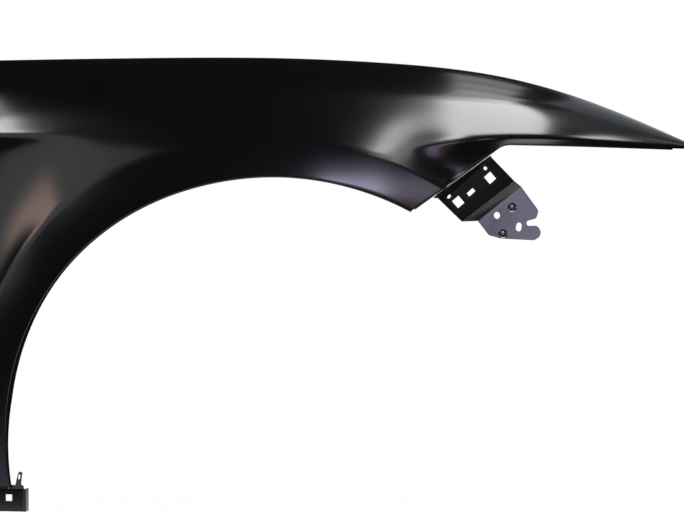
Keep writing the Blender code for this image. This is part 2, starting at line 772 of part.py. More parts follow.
def corner_arc(before, corner, after, radius):
    """Points that round one corner of an outline."""
    back = (before - corner).normalized()
    ahead = (after - corner).normalized()
    half = back.angle(ahead) / 2
    reach = min(radius / math.tan(half), (before - corner).length / 2, (after - corner).length / 2)
    middle = corner + (back + ahead).normalized() * (reach / math.cos(half))
    start = corner + back * reach - middle
    end = corner + ahead * reach - middle
    first = start.normalized()
    last = end.normalized()
    return [middle + first.slerp(last, k / CORNER_STEPS) * start.length for k in range(CORNER_STEPS + 1)]


def bracket_frame():
    """Frame on the seam's edge: along the seam, away from it, and inboard."""
    def edge_point(x):
        point = skin_point(x, nose_edge(x))
        slant = math.radians(SEAM_ANGLE)
        return point + BEND_RADIUS * Vector((math.sin(slant), 0, -math.cos(slant)))
    start = edge_point(BRACKET_FROM)
    end = edge_point(FILLET_FROM)
    first = (end - start).normalized()
    slant = math.radians(SEAM_ANGLE)
    away = Vector((math.sin(slant), 0, -math.cos(slant)))
    return frame_at(start, first, away)


def make_front_bracket():
    """Joggled bracket under the bumper seam."""
    frame = bracket_frame()
    top = WELD_GAP
    setback = BEND_RADIUS + BRACKET_SHEET
    tab = [[Vector((share * BRACKET_WIDTH, top, w)) for share in TAB_ENDS_SHARES]
           for w in (setback + BRACKET_TAB, setback + BRACKET_BEND)]
    strip = [Vector((share * BRACKET_WIDTH, top + BRACKET_BEND, setback)) for share in STRIP_ENDS_SHARES]
    ease_in = [point.lerp(other, 0.5) - Vector((0, BRACKET_BEND / 4, BRACKET_BEND / 4))
               for point, other in zip(tab[1], strip)]
    plate_w = BEND_RADIUS + PLATE_SETBACK
    plate_top = [Vector((u * BRACKET_WIDTH, v * PLATE_DEPTH, plate_w)) for u, v in PLATE_TOP_SHARES]
    plate_foot = [Vector((u * BRACKET_WIDTH, v * PLATE_DEPTH, plate_w)) for u, v in PLATE_FOOT_SHARES]
    leaf_v = PLATE_DEPTH + JOGGLE_RUN
    leaf_w = plate_w + JOGGLE_STEP
    tilt = math.radians(LEAF_TILT)

    def on_leaf(u, v):
        return Vector((u * BRACKET_WIDTH, leaf_v + v * LEAF_DEPTH * math.cos(tilt),
                       leaf_w + v * LEAF_DEPTH * math.sin(tilt)))
    leaf_top = [on_leaf(u, v) for u, v in LEAF_TOP_SHARES]
    outline = [leaf_top[1]] + [on_leaf(u, v) for u, v in LEAF_OUTLINE_SHARES] + [leaf_top[0]]
    rounded = [leaf_top[0], leaf_top[1]]
    notch = (3, 4, 5)
    for i in range(1, len(outline) - 1):
        radius = NOTCH_CORNER if i in notch else LEAF_CORNER
        rounded += corner_arc(outline[i - 1], outline[i], outline[i + 1], radius)

    mesh = bmesh.new()
    add_loft(mesh, [[frame @ point for point in row]
                    for row in tab + [ease_in, strip, plate_top, plate_foot, leaf_top]])
    mesh.faces.new([mesh.verts.new(frame @ point) for point in rounded])
    outward = -(frame.to_3x3() @ Vector((0, 0, 1)))
    piece = sheet_object("front_bracket", mesh, BRACKET_SHEET, outward)
    cut(piece, front_bracket_holes(frame, plate_w, frame @ on_leaf(0, 0)))
    return piece


def front_bracket_holes(frame, plate_w, leaf_corner):
    """Square, long, small, round and oval holes of the front bracket."""
    mesh = bmesh.new()
    low = plate_w - CUT_OVERRUN
    high = plate_w + CUT_OVERRUN

    def punch(outline, shares, angle=0.0):
        place = spun(frame, shares[0] * BRACKET_WIDTH, shares[1] * PLATE_DEPTH, angle)
        add_prism(mesh, outline, place, low, high)
    square = rounded_hole(SQUARE_HOLE, SQUARE_HOLE, SHEET)
    for shares in SQUARE_HOLE_SHARES:
        punch(square, shares, SQUARE_TURN)
    punch(round_hole(PILOT_RADIUS), PILOT_SHARES)
    punch(rounded_hole(*SMALL_SLOT, SMALL_SLOT[1] / 2), SMALL_SLOT_SHARES, SQUARE_TURN)
    punch(rounded_hole(*LONG_HOLE, SHEET), LONG_HOLE_SHARES, SQUARE_TURN)

    leaf = frame.copy()
    leaf.translation = leaf_corner
    leaf = leaf @ Matrix.Rotation(math.radians(LEAF_TILT), 4, 'X')
    round_place = spun(leaf, LEAF_HOLE_SHARES[0] * BRACKET_WIDTH, LEAF_HOLE_SHARES[1] * LEAF_DEPTH)
    add_prism(mesh, round_hole(LEAF_HOLE_RADIUS), round_place, -CUT_OVERRUN, CUT_OVERRUN)
    oval_place = spun(leaf, LEAF_OVAL_SHARES[0] * BRACKET_WIDTH, LEAF_OVAL_SHARES[1] * LEAF_DEPTH, LEAF_OVAL_TURN)
    add_prism(mesh, rounded_hole(*LEAF_OVAL, LEAF_OVAL[1] / 2), oval_place, -CUT_OVERRUN, CUT_OVERRUN)
    return mesh


def lower_frame():
    """Frame at the foot's front end: back along the foot, inboard, and up."""
    front = skin_point(-FOOT_FRONT_SHARE * ARCH_RADIUS, -FOOT_DROP)
    plan = math.radians(FOOT_PLAN_ANGLE)
    back = Vector((-math.cos(plan), math.sin(plan), 0))
    inboard = Vector((math.sin(plan), math.cos(plan), 0))
    matrix = Matrix((back, inboard, Vector((0, 0, 1)))).transposed().to_4x4()
    matrix.translation = Vector((front.x, front.y, -FOOT_DROP))
    return matrix


def make_lower_bracket():
    """Plate under the foot, with a shelf, a folded nose and a slotted tab."""
    frame = lower_frame()
    face = LOWER_SETBACK
    top = -WELD_GAP
    low = top - LOWER_HEIGHT
    bend = LOWER_BEND
    rear = LOWER_LENGTH_SHARE * (REAR_REACH - DOOR_SLANT - FOOT_FRONT_SHARE * ARCH_RADIUS)
    nose = -LOWER_NOSE
    down = Vector((0, 0, -1))
    outboard = Vector((0, -1, 0))
    shelf_front = [Vector((x, face + bend, top)) for x in (rear, SHELF_START)]
    bent = [turn(point, outboard, down, bend) for point in shelf_front]
    plate_top = [row[-1] for row in bent]
    shelf = shelf_front + [point + Vector((0, SHELF_DEPTH, 0)) for point in shelf_front[::-1]]

    lean = math.radians(TAB_LEAN)
    level = plate_top[1].z
    up = Vector((0, math.sin(lean), math.cos(lean)))

    def on_tab(share, rise):
        return Vector((share * nose, face, level)) + up * (rise * TAB_HEIGHT)
    root = [on_tab(share, 0) for share in TAB_ROOT_SHARES]
    corners = root[:1] + [on_tab(*shares) for shares in TAB_NOSE_SHARES] + root[1:]
    blade = root[::-1]
    for i in range(1, len(corners) - 1):
        blade += corner_arc(corners[i - 1], corners[i], corners[i + 1], TAB_CORNER)

    plate = [plate_top[0], plate_top[1], root[1], root[0], Vector((nose, face, level)), Vector((nose, face, low)),
             Vector((rear, face, low))]
    ahead = Vector((-1, 0, 0))
    nose_lean = math.radians(NOSE_RETURN_LEAN)
    folded = ahead * math.sin(nose_lean) + Vector((0, 1, 0)) * math.cos(nose_lean)
    nose_lines = []
    for point in plate[4:6]:
        line = [point] + turn(point, ahead, folded, bend)
        nose_lines.append(line + [line[-1] + folded * NOSE_RETURN])

    mesh = bmesh.new()
    add_loft(mesh, [[frame @ point for point in row] for row in zip(*[[p] + b for p, b in zip(shelf_front, bent)])])
    add_loft(mesh, [[frame @ point for point in row] for row in zip(*nose_lines)])
    for outline in (shelf, blade, plate):
        mesh.faces.new([mesh.verts.new(frame @ point) for point in outline])
    piece = sheet_object("lower_bracket", mesh, LOWER_SHEET, frame.to_3x3() @ Vector((0, -1, 0)))

    holes = bmesh.new()
    square = rounded_hole(LOWER_SQUARE, LOWER_SQUARE, SHEET / 2)
    facing = frame @ Matrix.Rotation(math.radians(90), 4, 'X')
    for share in LOWER_SQUARE_SHARES:
        place = spun(facing, share * rear, top - LOWER_SQUARE_DROP)
        add_prism(holes, square, place, -face - CUT_OVERRUN, -face + CUT_OVERRUN)
    blade_frame = frame @ frame_at(on_tab(*TAB_SLOT_SHARES), up, Vector((-1, 0, 0)))
    add_prism(holes, rounded_hole(*TAB_SLOT, TAB_SLOT[1] / 2), blade_frame, -CUT_OVERRUN, CUT_OVERRUN)
    cut(piece, holes)
    return piece


def clear_scene():
    for item in list(bpy.data.objects):
        bpy.data.objects.remove(item, do_unlink=True)


def main():
    clear_scene()
    _, hood = make_panel()
    make_front_bracket()
    make_lower_bracket()
    origin = ledge_place(hood, ORIGIN_PLACE) - Vector((0, 0, SHEET))
    for item in bpy.data.objects:
        item.location = -origin


main()
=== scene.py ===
"""Look of the right-hand front fender: finely faceted skin and brackets in black primer, on a white ground.

Units are metres. The form is worked out about the wheel centre, with +X to the front of the car, +Z up and
+Y inboard. It is then moved into the model's frame, with its origin under a pad of the hood-side flange.
"""
import json
import math

import bmesh
import bpy
import numpy as np
from mathutils import Matrix, Vector

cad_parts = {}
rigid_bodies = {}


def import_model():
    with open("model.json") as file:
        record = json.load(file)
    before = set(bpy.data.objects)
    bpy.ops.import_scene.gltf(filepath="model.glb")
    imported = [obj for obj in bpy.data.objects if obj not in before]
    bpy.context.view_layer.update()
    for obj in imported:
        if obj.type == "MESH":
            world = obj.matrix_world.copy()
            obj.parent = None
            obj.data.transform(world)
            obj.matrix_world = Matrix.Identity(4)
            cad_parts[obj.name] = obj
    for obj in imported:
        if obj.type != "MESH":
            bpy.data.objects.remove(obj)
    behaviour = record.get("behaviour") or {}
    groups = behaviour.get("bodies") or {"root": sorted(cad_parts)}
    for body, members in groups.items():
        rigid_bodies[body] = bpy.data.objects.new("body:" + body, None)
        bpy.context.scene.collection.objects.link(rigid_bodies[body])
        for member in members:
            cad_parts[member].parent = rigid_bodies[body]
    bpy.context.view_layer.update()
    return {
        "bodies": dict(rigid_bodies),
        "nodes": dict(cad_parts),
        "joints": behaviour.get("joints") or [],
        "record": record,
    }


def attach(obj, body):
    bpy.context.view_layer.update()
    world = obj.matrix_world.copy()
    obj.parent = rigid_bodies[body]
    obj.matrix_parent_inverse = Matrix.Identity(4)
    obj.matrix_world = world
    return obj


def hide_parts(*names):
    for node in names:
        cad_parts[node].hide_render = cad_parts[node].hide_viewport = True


for item in list(bpy.data.objects):
    bpy.data.objects.remove(item, do_unlink=True)
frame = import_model()

# Coat: colour, gloss, cloudiness, orange peel and grain
COAT_DARK = (0.0036, 0.0037, 0.0041, 1.0)
COAT_LIGHT = (0.0050, 0.0051, 0.0055, 1.0)
COAT_IOR = 1.6
COAT_ROUGHNESS_RANGE = (0.13, 0.18)
CLOUD_SCALE = 9.0
CLOUD_DETAIL = 4.0
TINT_SCALE = 23.0
PEEL_SCALE = 420.0
PEEL_DETAIL = 2.0
PEEL_STRENGTH = 0.06
PEEL_DEPTH = 0.0002
GRAIN_SCALE = 2600.0
GRAIN_STRENGTH = 0.03
GRAIN_DEPTH = 0.00005

# Ring dimples in the lower leaf of the front bracket: middles, and radius, width and depth of the ring
DIMPLES = ((0.3263, -0.2015), (0.3126, -0.2392))
DIMPLE_RADIUS = 0.0042
DIMPLE_RIM = 0.0026
DIMPLE_DEPTH = 0.0008

# Bends of the brackets
BRACKET_FILLET = 0.0008
FILLET_STEPS = 4
FILLET_ANGLE = 4.0

# Stage
WHITE = (1.0, 1.0, 1.0, 1.0)
FILL_COLOUR = (0.95, 0.97, 1.0, 1.0)
FILL_STRENGTH = 0.5
FLOOR_HEIGHT = -0.670
FLOOR_FRONT = -0.45
FLOOR_BACK = 0.35
FLOOR_HALF_WIDTH = 0.95
FLOOR_GLOW = 0.985
ROOM_RADIUS = 7.0
ROOM_SEGMENTS = 64
ROOM_OPENING = (0.20, 0.35)
ROOM_COLOUR = (0.012, 0.011, 0.011, 1.0)

# Camera: distance and width of the frame at the widest point of the skin
CAMERA_DISTANCE = 2.6
FRAME_WIDTH = 0.9576
SENSOR_WIDTH = 36.0
CAMERA_PLACE = (0.0824, -2.7614, -0.2715)

# Planes that the lights lie on: the spot they are placed from, distance, facing and upright side
FAR = 2.4
CARD_FAR = 2.2
NEAR = 0.35
NOSE_SPOT = (0.27, -0.10, -0.08)
BAND_SPOT = (0.08, -0.15, -0.16)
SHOULDER_SPOT = (-0.40, -0.13, -0.09)
LEG_SPOT = (-0.38, -0.15, -0.50)
LEVEL = (0.0, 1.0, 0.0)
ABOVE = (0.0, 0.0, 1.0)
LEFT_FACING = (-0.48, -0.81, 0.34)
BOX_PLANE = (NOSE_SPOT, FAR, (0.524, -0.805, 0.277), (0.133, 0.398, 0.907))
TOP_PLANE = (NOSE_SPOT, FAR, ABOVE, LEVEL)
TIP_PLANE = (NOSE_SPOT, FAR, (0.947, -0.133, 0.292), ABOVE)
LAMP_EDGE_PLANE = (NOSE_SPOT, FAR, (0.850, -0.414, -0.326), ABOVE)
SHOULDER_PLANE = (SHOULDER_SPOT, NEAR, ABOVE, LEVEL)
BAND_PLANE = (BAND_SPOT, FAR, (0.26, -0.96, 0.09), ABOVE)
LEFT_PLANE = (SHOULDER_SPOT, FAR, LEFT_FACING, ABOVE)
BROWN_PLANE = (SHOULDER_SPOT, CARD_FAR, LEFT_FACING, ABOVE)
LEG_PLANE = (LEG_SPOT, FAR, (-0.20, -0.96, -0.21), ABOVE)
KEY_PLANE = (BAND_SPOT, FAR, (0.2, -0.7, 0.7), ABOVE)

# Lights that the gloss shows: plane, reach across and up in shares of the distance, radiance and colour
NEUTRAL = (1.0, 1.0, 1.0)
COOL = (0.86, 0.93, 1.0)
BLUISH = (0.74, 0.72, 1.0)
BROWNISH = (1.0, 0.64, 0.47)
LIGHTS = (
    ("main_box", BOX_PLANE, (-0.15, 0.55), (0.40, 1.8), 10.5, NEUTRAL),
    ("main_box_side", BOX_PLANE, (-0.31, -0.15), (0.12, 1.8), 11.0, NEUTRAL),
    ("main_box_top", BOX_PLANE, (-0.305, 0.55), (1.8, 2.5), 5.5, NEUTRAL),
    ("main_box_foot", BOX_PLANE, (-0.31, -0.15), (-0.06, 0.12), 2.8, NEUTRAL),
    ("facet_card", BOX_PLANE, (-0.28, 0.06), (-0.60, -0.30), 0.45, BROWNISH),
    ("rear_panel", TOP_PLANE, (0.22, 0.58), (0.03, 0.40), 3.0, NEUTRAL),
    ("rear_panel_middle", TOP_PLANE, (0.20, 0.48), (0.40, 0.75), 1.6, NEUTRAL),
    ("far_rear_panel", TOP_PLANE, (0.19, 0.46), (0.75, 1.3), 0.9, COOL),
    ("tip_card", TOP_PLANE, (0.85, 2.8), (-0.40, 0.5), 0.30, COOL),
    ("far_tip_card", TOP_PLANE, (0.65, 1.5), (0.5, 2.2), 0.45, COOL),
    ("tip_glint", TIP_PLANE, (-0.07, 0.07), (-0.06, 0.06), 8.5, NEUTRAL),
    ("lamp_edge_card", LAMP_EDGE_PLANE, (-0.14, 0.12), (-0.07, 0.07), 2.6, NEUTRAL),
    ("shoulder_panel", SHOULDER_PLANE, (-0.66, -0.31), (-1.25, -0.66), 12.5, NEUTRAL),
    ("shoulder_panel_top", SHOULDER_PLANE, (-0.66, -0.31), (-0.66, 0.05), 4.0, NEUTRAL),
    ("band_strip", BAND_PLANE, (-0.21, 0.09), (-0.12, -0.02), 8.5, BLUISH),
    ("band_strip_middle", BAND_PLANE, (-0.21, 0.09), (-0.02, 0.05), 4.5, BLUISH),
    ("band_strip_end", BAND_PLANE, (0.09, 0.30), (-0.12, 0.04), 1.8, BLUISH),
    ("band_strip_top", BAND_PLANE, (-0.21, 0.09), (0.05, 0.13), 1.0, BLUISH),
    ("bracket_strip", BAND_PLANE, (0.52, 0.66), (-0.09, 0.03), 5.5, BLUISH),
    ("left_card", LEFT_PLANE, (-0.26, 0.31), (-0.24, 0.24), 0.75, COOL),
    ("left_card_foot", LEFT_PLANE, (-0.26, 0.20), (-0.42, -0.24), 0.75, COOL),
    ("brown_card", BROWN_PLANE, (-0.21, -0.03), (-0.11, 0.09), 3.2, BROWNISH),
    ("floor_patch", LEG_PLANE, (-0.18, 0.18), (-0.05, 0.05), 0.9, BLUISH),
)

# Key that lights the colour: half its reach in shares of the distance, and its radiance
KEY_REACH = 0.5
KEY_RADIANCE = 0.7

# Driving sizes of the skin, measured from the wheel centre and from the plane of the widest point
ARCH_RADIUS = 0.3713
REAR_REACH = 0.600
FRONT_REACH = 0.640
CREST_HEIGHT = 0.5533
LINE_HEIGHT = 0.4290
FOOT_DROP = 0.065
TIP_INSET = 0.262
SHEET = 0.0008

# Side view and plan of the skin, as shares of the reaches, heights and inset above
LENGTH_SHARES = (-1.0, -0.667, -0.333, 0.0, 0.25, 0.5, 0.75, 1.0)
CREST_SHARES = (0.988, 0.995, 0.9993, 0.998, 0.9873, 0.956, 0.884, 0.775)
LINE_SHARES = (1.0, 1.003, 1.001, 0.997, 0.972, 1.002, 1.001, 0.9945)
PLAN_SHARES = (0.145, 0.107, 0.069, 0.046, 0.074, 0.233, 0.561, 1.0)

# Wheel arch: edge of the opening and width of its band, at angles from straight up, towards the front
BAND_WIDTH = 0.0535
BAND_RISE = 0.0045
BAND_CURVE = 1.6
LIP_INSET = 0.010
ARCH_ANGLES = (-100.0, -75.0, -50.0, -33.0, -16.0, 0.0, 16.0, 34.0)
ARCH_SHARES = (1.017, 1.031, 1.033, 1.022, 1.007, 1.0, 1.0, 1.008)
BAND_SHARES = (0.90, 0.98, 1.18, 1.20, 1.05, 1.015, 1.0, 1.02)
LIP_INSET_SHARES = (0.9, 0.6, 0.25, 0.08, 0.0, 0.0, 0.35, 2.1)
ARCH_END_ANGLE = 30.6

# Shoulder above the line: slopes at the line, depth at the crest per height, and how late it turns over
SHOULDER_SLOPE = 0.22
REAR_SHOULDER_SLOPE = 0.50
SHOULDER_DEPTH_PER_HEIGHT = 1.02
CREST_POWER = 2.5

# Recess below the rear line, undercut below the front line and lean of the lower side
RECESS_DEPTH = 0.0075
RECESS_LENGTH = 0.024
SHOULDER_FADE_LENGTH = 0.060
UNDERCUT_SLOPE = 0.45
LOWER_LEAN = -0.03
CREASE_SOFTNESS = 0.0015
BAND_SOFTNESS = 0.0006
REAR_CREASE_FROM = -0.420
REAR_CREASE_TO = -0.220
REAR_SHOULDER_FROM = -0.620
REAR_SHOULDER_TO = -0.060
FRONT_CREASE_FROM = 0.140
FRONT_CREASE_TO = 0.285

# How far the swelling around the arch spreads into the body
FLARE_LENGTH = 0.070

# Bumper seam, lamp edge, door edge
SEAM_ANGLE = 35.9
SEAM_FILLET = 0.035
LAMP_EDGE_HEIGHT = 0.4195
LAMP_EDGE_RISE = 0.0035
SEAM_STRIP = 0.0075
SEAM_STRIP_START = 0.006
SEAM_STRIP_LEAN = -0.04
DOOR_SLANT = 0.015

# Where the lofts leave the character line to meet the arch crease
REAR_MEET_ANGLE = -30.0
FRONT_MEET_ANGLE = 22.0
REAR_LEAVE = -0.300
FRONT_LEAVE = 0.235

# Return flanges of the skin
BEND_RADIUS = 0.0018
HOOD_WALL = 0.020
HOOD_WALL_LEAN = 15.0
HOOD_LEDGE = 0.014
HOOD_PAD_EXTRA = 0.014
HOOD_PAD_LENGTH = 0.084
ORIGIN_PLACE = 0.010
HOOD_PAD_PLACES = (-0.500, -0.250, ORIGIN_PLACE, 0.280)
HOOD_FLANGE_FROM = -0.590
HOOD_FLANGE_TO = 0.500
HOOD_BOLT_RADIUS = 0.0045
HOOD_BOLT_SLOT = 0.004
HOOD_BOLT_OFFSET = 0.012
ARCH_RETURN = 0.019
ARCH_RETURN_LEAN = 9.0
ARCH_LEAN_ANGLES = (-85.0, -45.0)
DOOR_RETURN = 0.012
DOOR_TAB_EXTRA = 0.020
DOOR_TAB_LENGTH = 0.076
DOOR_TAB_HEIGHTS = (0.330, 0.060)
DOOR_BOLT_RADIUS = 0.0045
FOOT_SHELF = 0.022
NOSE_EDGE_RETURN = 0.012
LAMP_RETURN_TO = 0.600

# Front bracket, in its own frame: along the seam, away from it, and inboard
BRACKET_SHEET = 0.0012
BRACKET_FROM = 0.228
BRACKET_WIDTH = 0.100
BRACKET_TAB = 0.013
BRACKET_BEND = 0.0010
PLATE_SETBACK = 0.005
PLATE_DEPTH = 0.050
JOGGLE_RUN = 0.014
JOGGLE_STEP = 0.008
LEAF_DEPTH = 0.072
LEAF_TILT = 8.0
LEAF_CORNER = 0.007
NOTCH_CORNER = 0.003
TAB_ENDS_SHARES = (0.02, 0.93)
STRIP_ENDS_SHARES = (-0.10, 0.975)
PLATE_TOP_SHARES = ((-0.03, 0.13), (0.985, 0.075))
PLATE_FOOT_SHARES = ((0.055, 1.05), (1.055, 1.0))
LEAF_TOP_SHARES = ((0.285, 0.02), (1.12, -0.028))
LEAF_OUTLINE_SHARES = (
    (1.145, 0.58), (1.05, 0.68), (0.915, 0.61), (0.87, 0.645), (0.885, 0.705), (1.0, 0.805),
    (1.005, 0.95), (0.935, 1.02), (0.84, 1.01), (0.43, 0.58), (0.305, 0.38))
NOTCH_POINTS = (3, 4, 5)
SQUARE_HOLE = 0.0132
SQUARE_HOLE_SHARES = ((0.182, 0.535), (0.785, 0.515))
SQUARE_TURN = -5.0
PILOT_RADIUS = 0.0028
PILOT_SHARES = (0.812, 0.215)
SMALL_SLOT = (0.0072, 0.0054)
SMALL_SLOT_SHARES = (0.117, 0.248)
LONG_HOLE = (0.0126, 0.0060)
LONG_HOLE_SHARES = (0.424, 0.527)
LEAF_HOLE_RADIUS = 0.005
LEAF_HOLE_SHARES = (0.572, 0.156)
LEAF_OVAL = (0.0128, 0.0090)
LEAF_OVAL_TURN = -43.0
LEAF_OVAL_SHARES = (0.755, 0.607)

# Lower bracket, in its own frame: back along the foot, inboard, and up
LOWER_SHEET = 0.0012
FOOT_FRONT_SHARE = 1.0127
FOOT_PLAN_ANGLE = 7.8
LOWER_LENGTH_SHARE = 0.718
LOWER_NOSE = 0.0216
LOWER_SETBACK = 0.004
LOWER_HEIGHT = 0.034
LOWER_BEND = 0.002
SHELF_START = 0.002
SHELF_DEPTH = 0.026
TAB_HEIGHT = 0.0245
TAB_LEAN = 20.0
TAB_NOSE_SHARES = ((0.93, 0.17), (0.73, 0.27), (0.735, 1.0), (0.50, 1.0), (0.43, 0.75), (0.36, 0.22),
                   (-0.02, 0.10))
TAB_ROOT_SHARES = (0.95, -0.08)
TAB_CORNER = 0.002
TAB_SLOT = (0.0072, 0.0030)
TAB_SLOT_SHARES = (0.56, 0.70)
NOSE_RETURN = 0.010
NOSE_RETURN_LEAN = 3.0
LOWER_SQUARE = 0.0092
LOWER_SQUARE_SHARES = (0.006, 0.86)
LOWER_SQUARE_DROP = 0.0147

# Gaps between welded pieces, and how far a cutter runs past both faces
WELD_GAP = 0.00003
CUT_OVERRUN = 0.004

# Facets of each direction of the lofts
REAR_COLUMNS = 64
MIDDLE_COLUMNS = 80
FRONT_COLUMNS = 20
SEAM_COLUMNS = 16
FILLET_COLUMNS = 12
TIP_COLUMNS = 56
SHOULDER_ROWS = 30
SIDE_ROWS = 84
BAND_ROWS = 10
FACET_ROWS = 10
BEND_STEPS = 5
CORNER_STEPS = 8
ROUND_STEPS = 40
ROW_CROWDING = 1.5

# Reach of points that count as one, and angle past which an edge shades sharp
WELD = 0.00002
SHARP_ANGLE = 30.0

# Halvings of a search, and the angles between which the foot, the arch's crown and the seam lie
SOLVE_STEPS = 50
FOOT_SEARCH = (-120.0, -80.0)
CROWN_SEARCH = (-60.0, 60.0)
SEAM_SEARCH = (15.0, 50.0)


class Curve:
    """Smooth curve through stations, straight beyond both ends."""

    def __init__(self, places, values):
        self.places = np.array(places, float)
        self.values = np.array(values, float)
        count = len(self.places)
        steps = np.diff(self.places)
        rises = np.diff(self.values) / steps
        system = np.eye(count)
        target = np.zeros(count)
        for i in range(1, count - 1):
            system[i, i - 1] = steps[i - 1]
            system[i, i] = 2 * (steps[i - 1] + steps[i])
            system[i, i + 1] = steps[i]
            target[i] = 3 * (rises[i] - rises[i - 1])
        self.bend = np.linalg.solve(system, target)
        self.slope = rises - steps * (2 * self.bend[:-1] + self.bend[1:]) / 3
        self.twist = (self.bend[1:] - self.bend[:-1]) / (3 * steps)

    def __call__(self, place):
        last = len(self.slope) - 1
        i = int(min(max(np.searchsorted(self.places, place) - 1, 0), last))
        inside = min(max(place, self.places[0]), self.places[-1])
        run = inside - self.places[i]
        value = self.values[i] + run * (self.slope[i] + run * (self.bend[i] + run * self.twist[i]))
        tangent = self.slope[i] + run * (2 * self.bend[i] + 3 * run * self.twist[i])
        return float(value + tangent * (place - inside))


def along(share):
    """Distance from the wheel centre for a share of the rear or front reach."""
    return share * (REAR_REACH if share < 0 else FRONT_REACH)


STATIONS = [along(share) for share in LENGTH_SHARES]
crest_height = Curve(STATIONS, [share * CREST_HEIGHT for share in CREST_SHARES])
line_height = Curve(STATIONS, [share * LINE_HEIGHT for share in LINE_SHARES])
line_inset = Curve(STATIONS, [share * TIP_INSET for share in PLAN_SHARES])
arch_radius = Curve(ARCH_ANGLES, [share * ARCH_RADIUS for share in ARCH_SHARES])
band_width = Curve(ARCH_ANGLES, [share * BAND_WIDTH for share in BAND_SHARES])
lip_inset = Curve(ARCH_ANGLES, [share * LIP_INSET for share in LIP_INSET_SHARES])


def ease(value, low, high):
    """0 at low, 1 at high, smooth between."""
    share = min(max((value - low) / (high - low), 0.0), 1.0)
    return share * share * share * (share * (6 * share - 15) + 10)


def soft_ramp(value, softness):
    """0 below zero, the value above zero, with a rounded corner."""
    ratio = value / softness
    if ratio > 30:
        return value
    return softness * math.log1p(math.exp(ratio))


def soft_step(value, softness):
    """0 well below zero and 1 well above it."""
    ratio = min(max(value / softness, -30), 30)
    return 1 / (1 + math.exp(-ratio))


def lip_radius(angle):
    """Radius where the band ends and the bend of the arch return starts."""
    return arch_radius(angle) + BEND_RADIUS


def crease_radius(angle):
    """Radius of the band's outer crease."""
    return arch_radius(angle) + band_width(angle)


def body_inset(x, z):
    """Depth of the body side, without the swelling around the arch."""
    rear_crease = 1 - ease(x, REAR_CREASE_FROM, REAR_CREASE_TO)
    front_crease = ease(x, FRONT_CREASE_FROM, FRONT_CREASE_TO)
    line = line_height(x)
    height = max(crest_height(x) - line, SHEET)
    leaning = 1 - ease(x, REAR_SHOULDER_FROM, REAR_SHOULDER_TO)
    slope = SHOULDER_SLOPE + (REAR_SHOULDER_SLOPE - SHOULDER_SLOPE) * leaning
    above = soft_ramp(z - line, CREASE_SOFTNESS)
    below = soft_ramp(line - z, CREASE_SOFTNESS)
    share = above / height
    turned = (SHOULDER_DEPTH_PER_HEIGHT - slope) * share ** (CREST_POWER + 1)
    shoulder = height * (slope * share + turned)
    smooth = max(1 - rear_crease - front_crease, 0.0)
    flowing = -smooth * slope * SHOULDER_FADE_LENGTH * (1 - math.exp(-below / SHOULDER_FADE_LENGTH))
    recess = rear_crease * RECESS_DEPTH * (1 - math.exp(-below / RECESS_LENGTH))
    undercut = front_crease * UNDERCUT_SLOPE * below
    lean = (1 - front_crease) * LOWER_LEAN * below
    return line_inset(x) + shoulder + flowing + recess + undercut + lean


def band_inset(radius, angle):
    """Depth of the flat band that frames the wheel opening."""
    share = max((radius - arch_radius(angle)) / band_width(angle), 0.0)
    return lip_inset(angle) + BAND_RISE * share ** BAND_CURVE


def arch_place(radius, angle):
    """Place in the side view, at a radius and an angle about the wheel centre."""
    turned = math.radians(angle)
    return radius * math.sin(turned), radius * math.cos(turned)


def crease_place(angle):
    return arch_place(crease_radius(angle), angle)


def skin_inset(x, z):
    """Depth of the finished skin at a place in the side view."""
    radius = math.hypot(x, z)
    angle = math.degrees(math.atan2(x, z))
    crease = crease_radius(angle)
    outside = radius - crease
    band = band_inset(radius, angle)
    share = soft_step(outside, BAND_SOFTNESS)
    if share < WELD:
        return band
    swelling = body_inset(*crease_place(angle)) - band_inset(crease, angle)
    body = body_inset(x, z) - swelling * math.exp(-outside / FLARE_LENGTH)
    return share * body + (1 - share) * band


def skin_point(x, z):
    return Vector((x, skin_inset(x, z), z))


def solve(function, low, high):
    """Where a rising function crosses zero."""
    for _ in range(SOLVE_STEPS):
        middle = (low + high) / 2
        if function(middle) < 0:
            low = middle
        else:
            high = middle
    return (low + high) / 2


def foot_angle(radius_at):
    """Angle where an arch curve meets the foot's edge."""
    def above_foot(angle):
        return arch_place(radius_at(angle), angle)[1] + FOOT_DROP - BEND_RADIUS
    return solve(above_foot, *FOOT_SEARCH)


def crease_height(x):
    """Height of the arch crease above a place along the car, for the top of the arch."""
    angle = solve(lambda trial: crease_place(trial)[0] - x, *CROWN_SEARCH)
    return crease_place(angle)[1]


def seam_height(x):
    """Height of the straight bumper seam, set back for the bend of its return."""
    end_x, end_z = arch_place(arch_radius(ARCH_END_ANGLE), ARCH_END_ANGLE)
    lift = BEND_RADIUS / math.cos(math.radians(SEAM_ANGLE))
    return end_z + lift + math.tan(math.radians(SEAM_ANGLE)) * (x - end_x)


def seam_angle_on(radius_at):
    """Angle where an arch curve meets the bumper seam."""
    def past_seam(angle):
        x, z = arch_place(radius_at(angle), angle)
        return seam_height(x) - z
    return solve(past_seam, *SEAM_SEARCH)


def spread(low, high, count):
    return [low + (high - low) * i / count for i in range(count + 1)]


LIP_END_ANGLE = seam_angle_on(lip_radius)
BAND_END_ANGLE = seam_angle_on(crease_radius)
REAR_MEET_X = crease_place(REAR_MEET_ANGLE)[0]
FRONT_MEET_X = crease_place(FRONT_MEET_ANGLE)[0]
BAND_END_X = crease_place(BAND_END_ANGLE)[0]
CREASE_ANGLES = spread(REAR_MEET_ANGLE, FRONT_MEET_ANGLE, MIDDLE_COLUMNS)[1:]
CREASE_ANGLES += spread(FRONT_MEET_ANGLE, BAND_END_ANGLE, FRONT_COLUMNS)[1:]


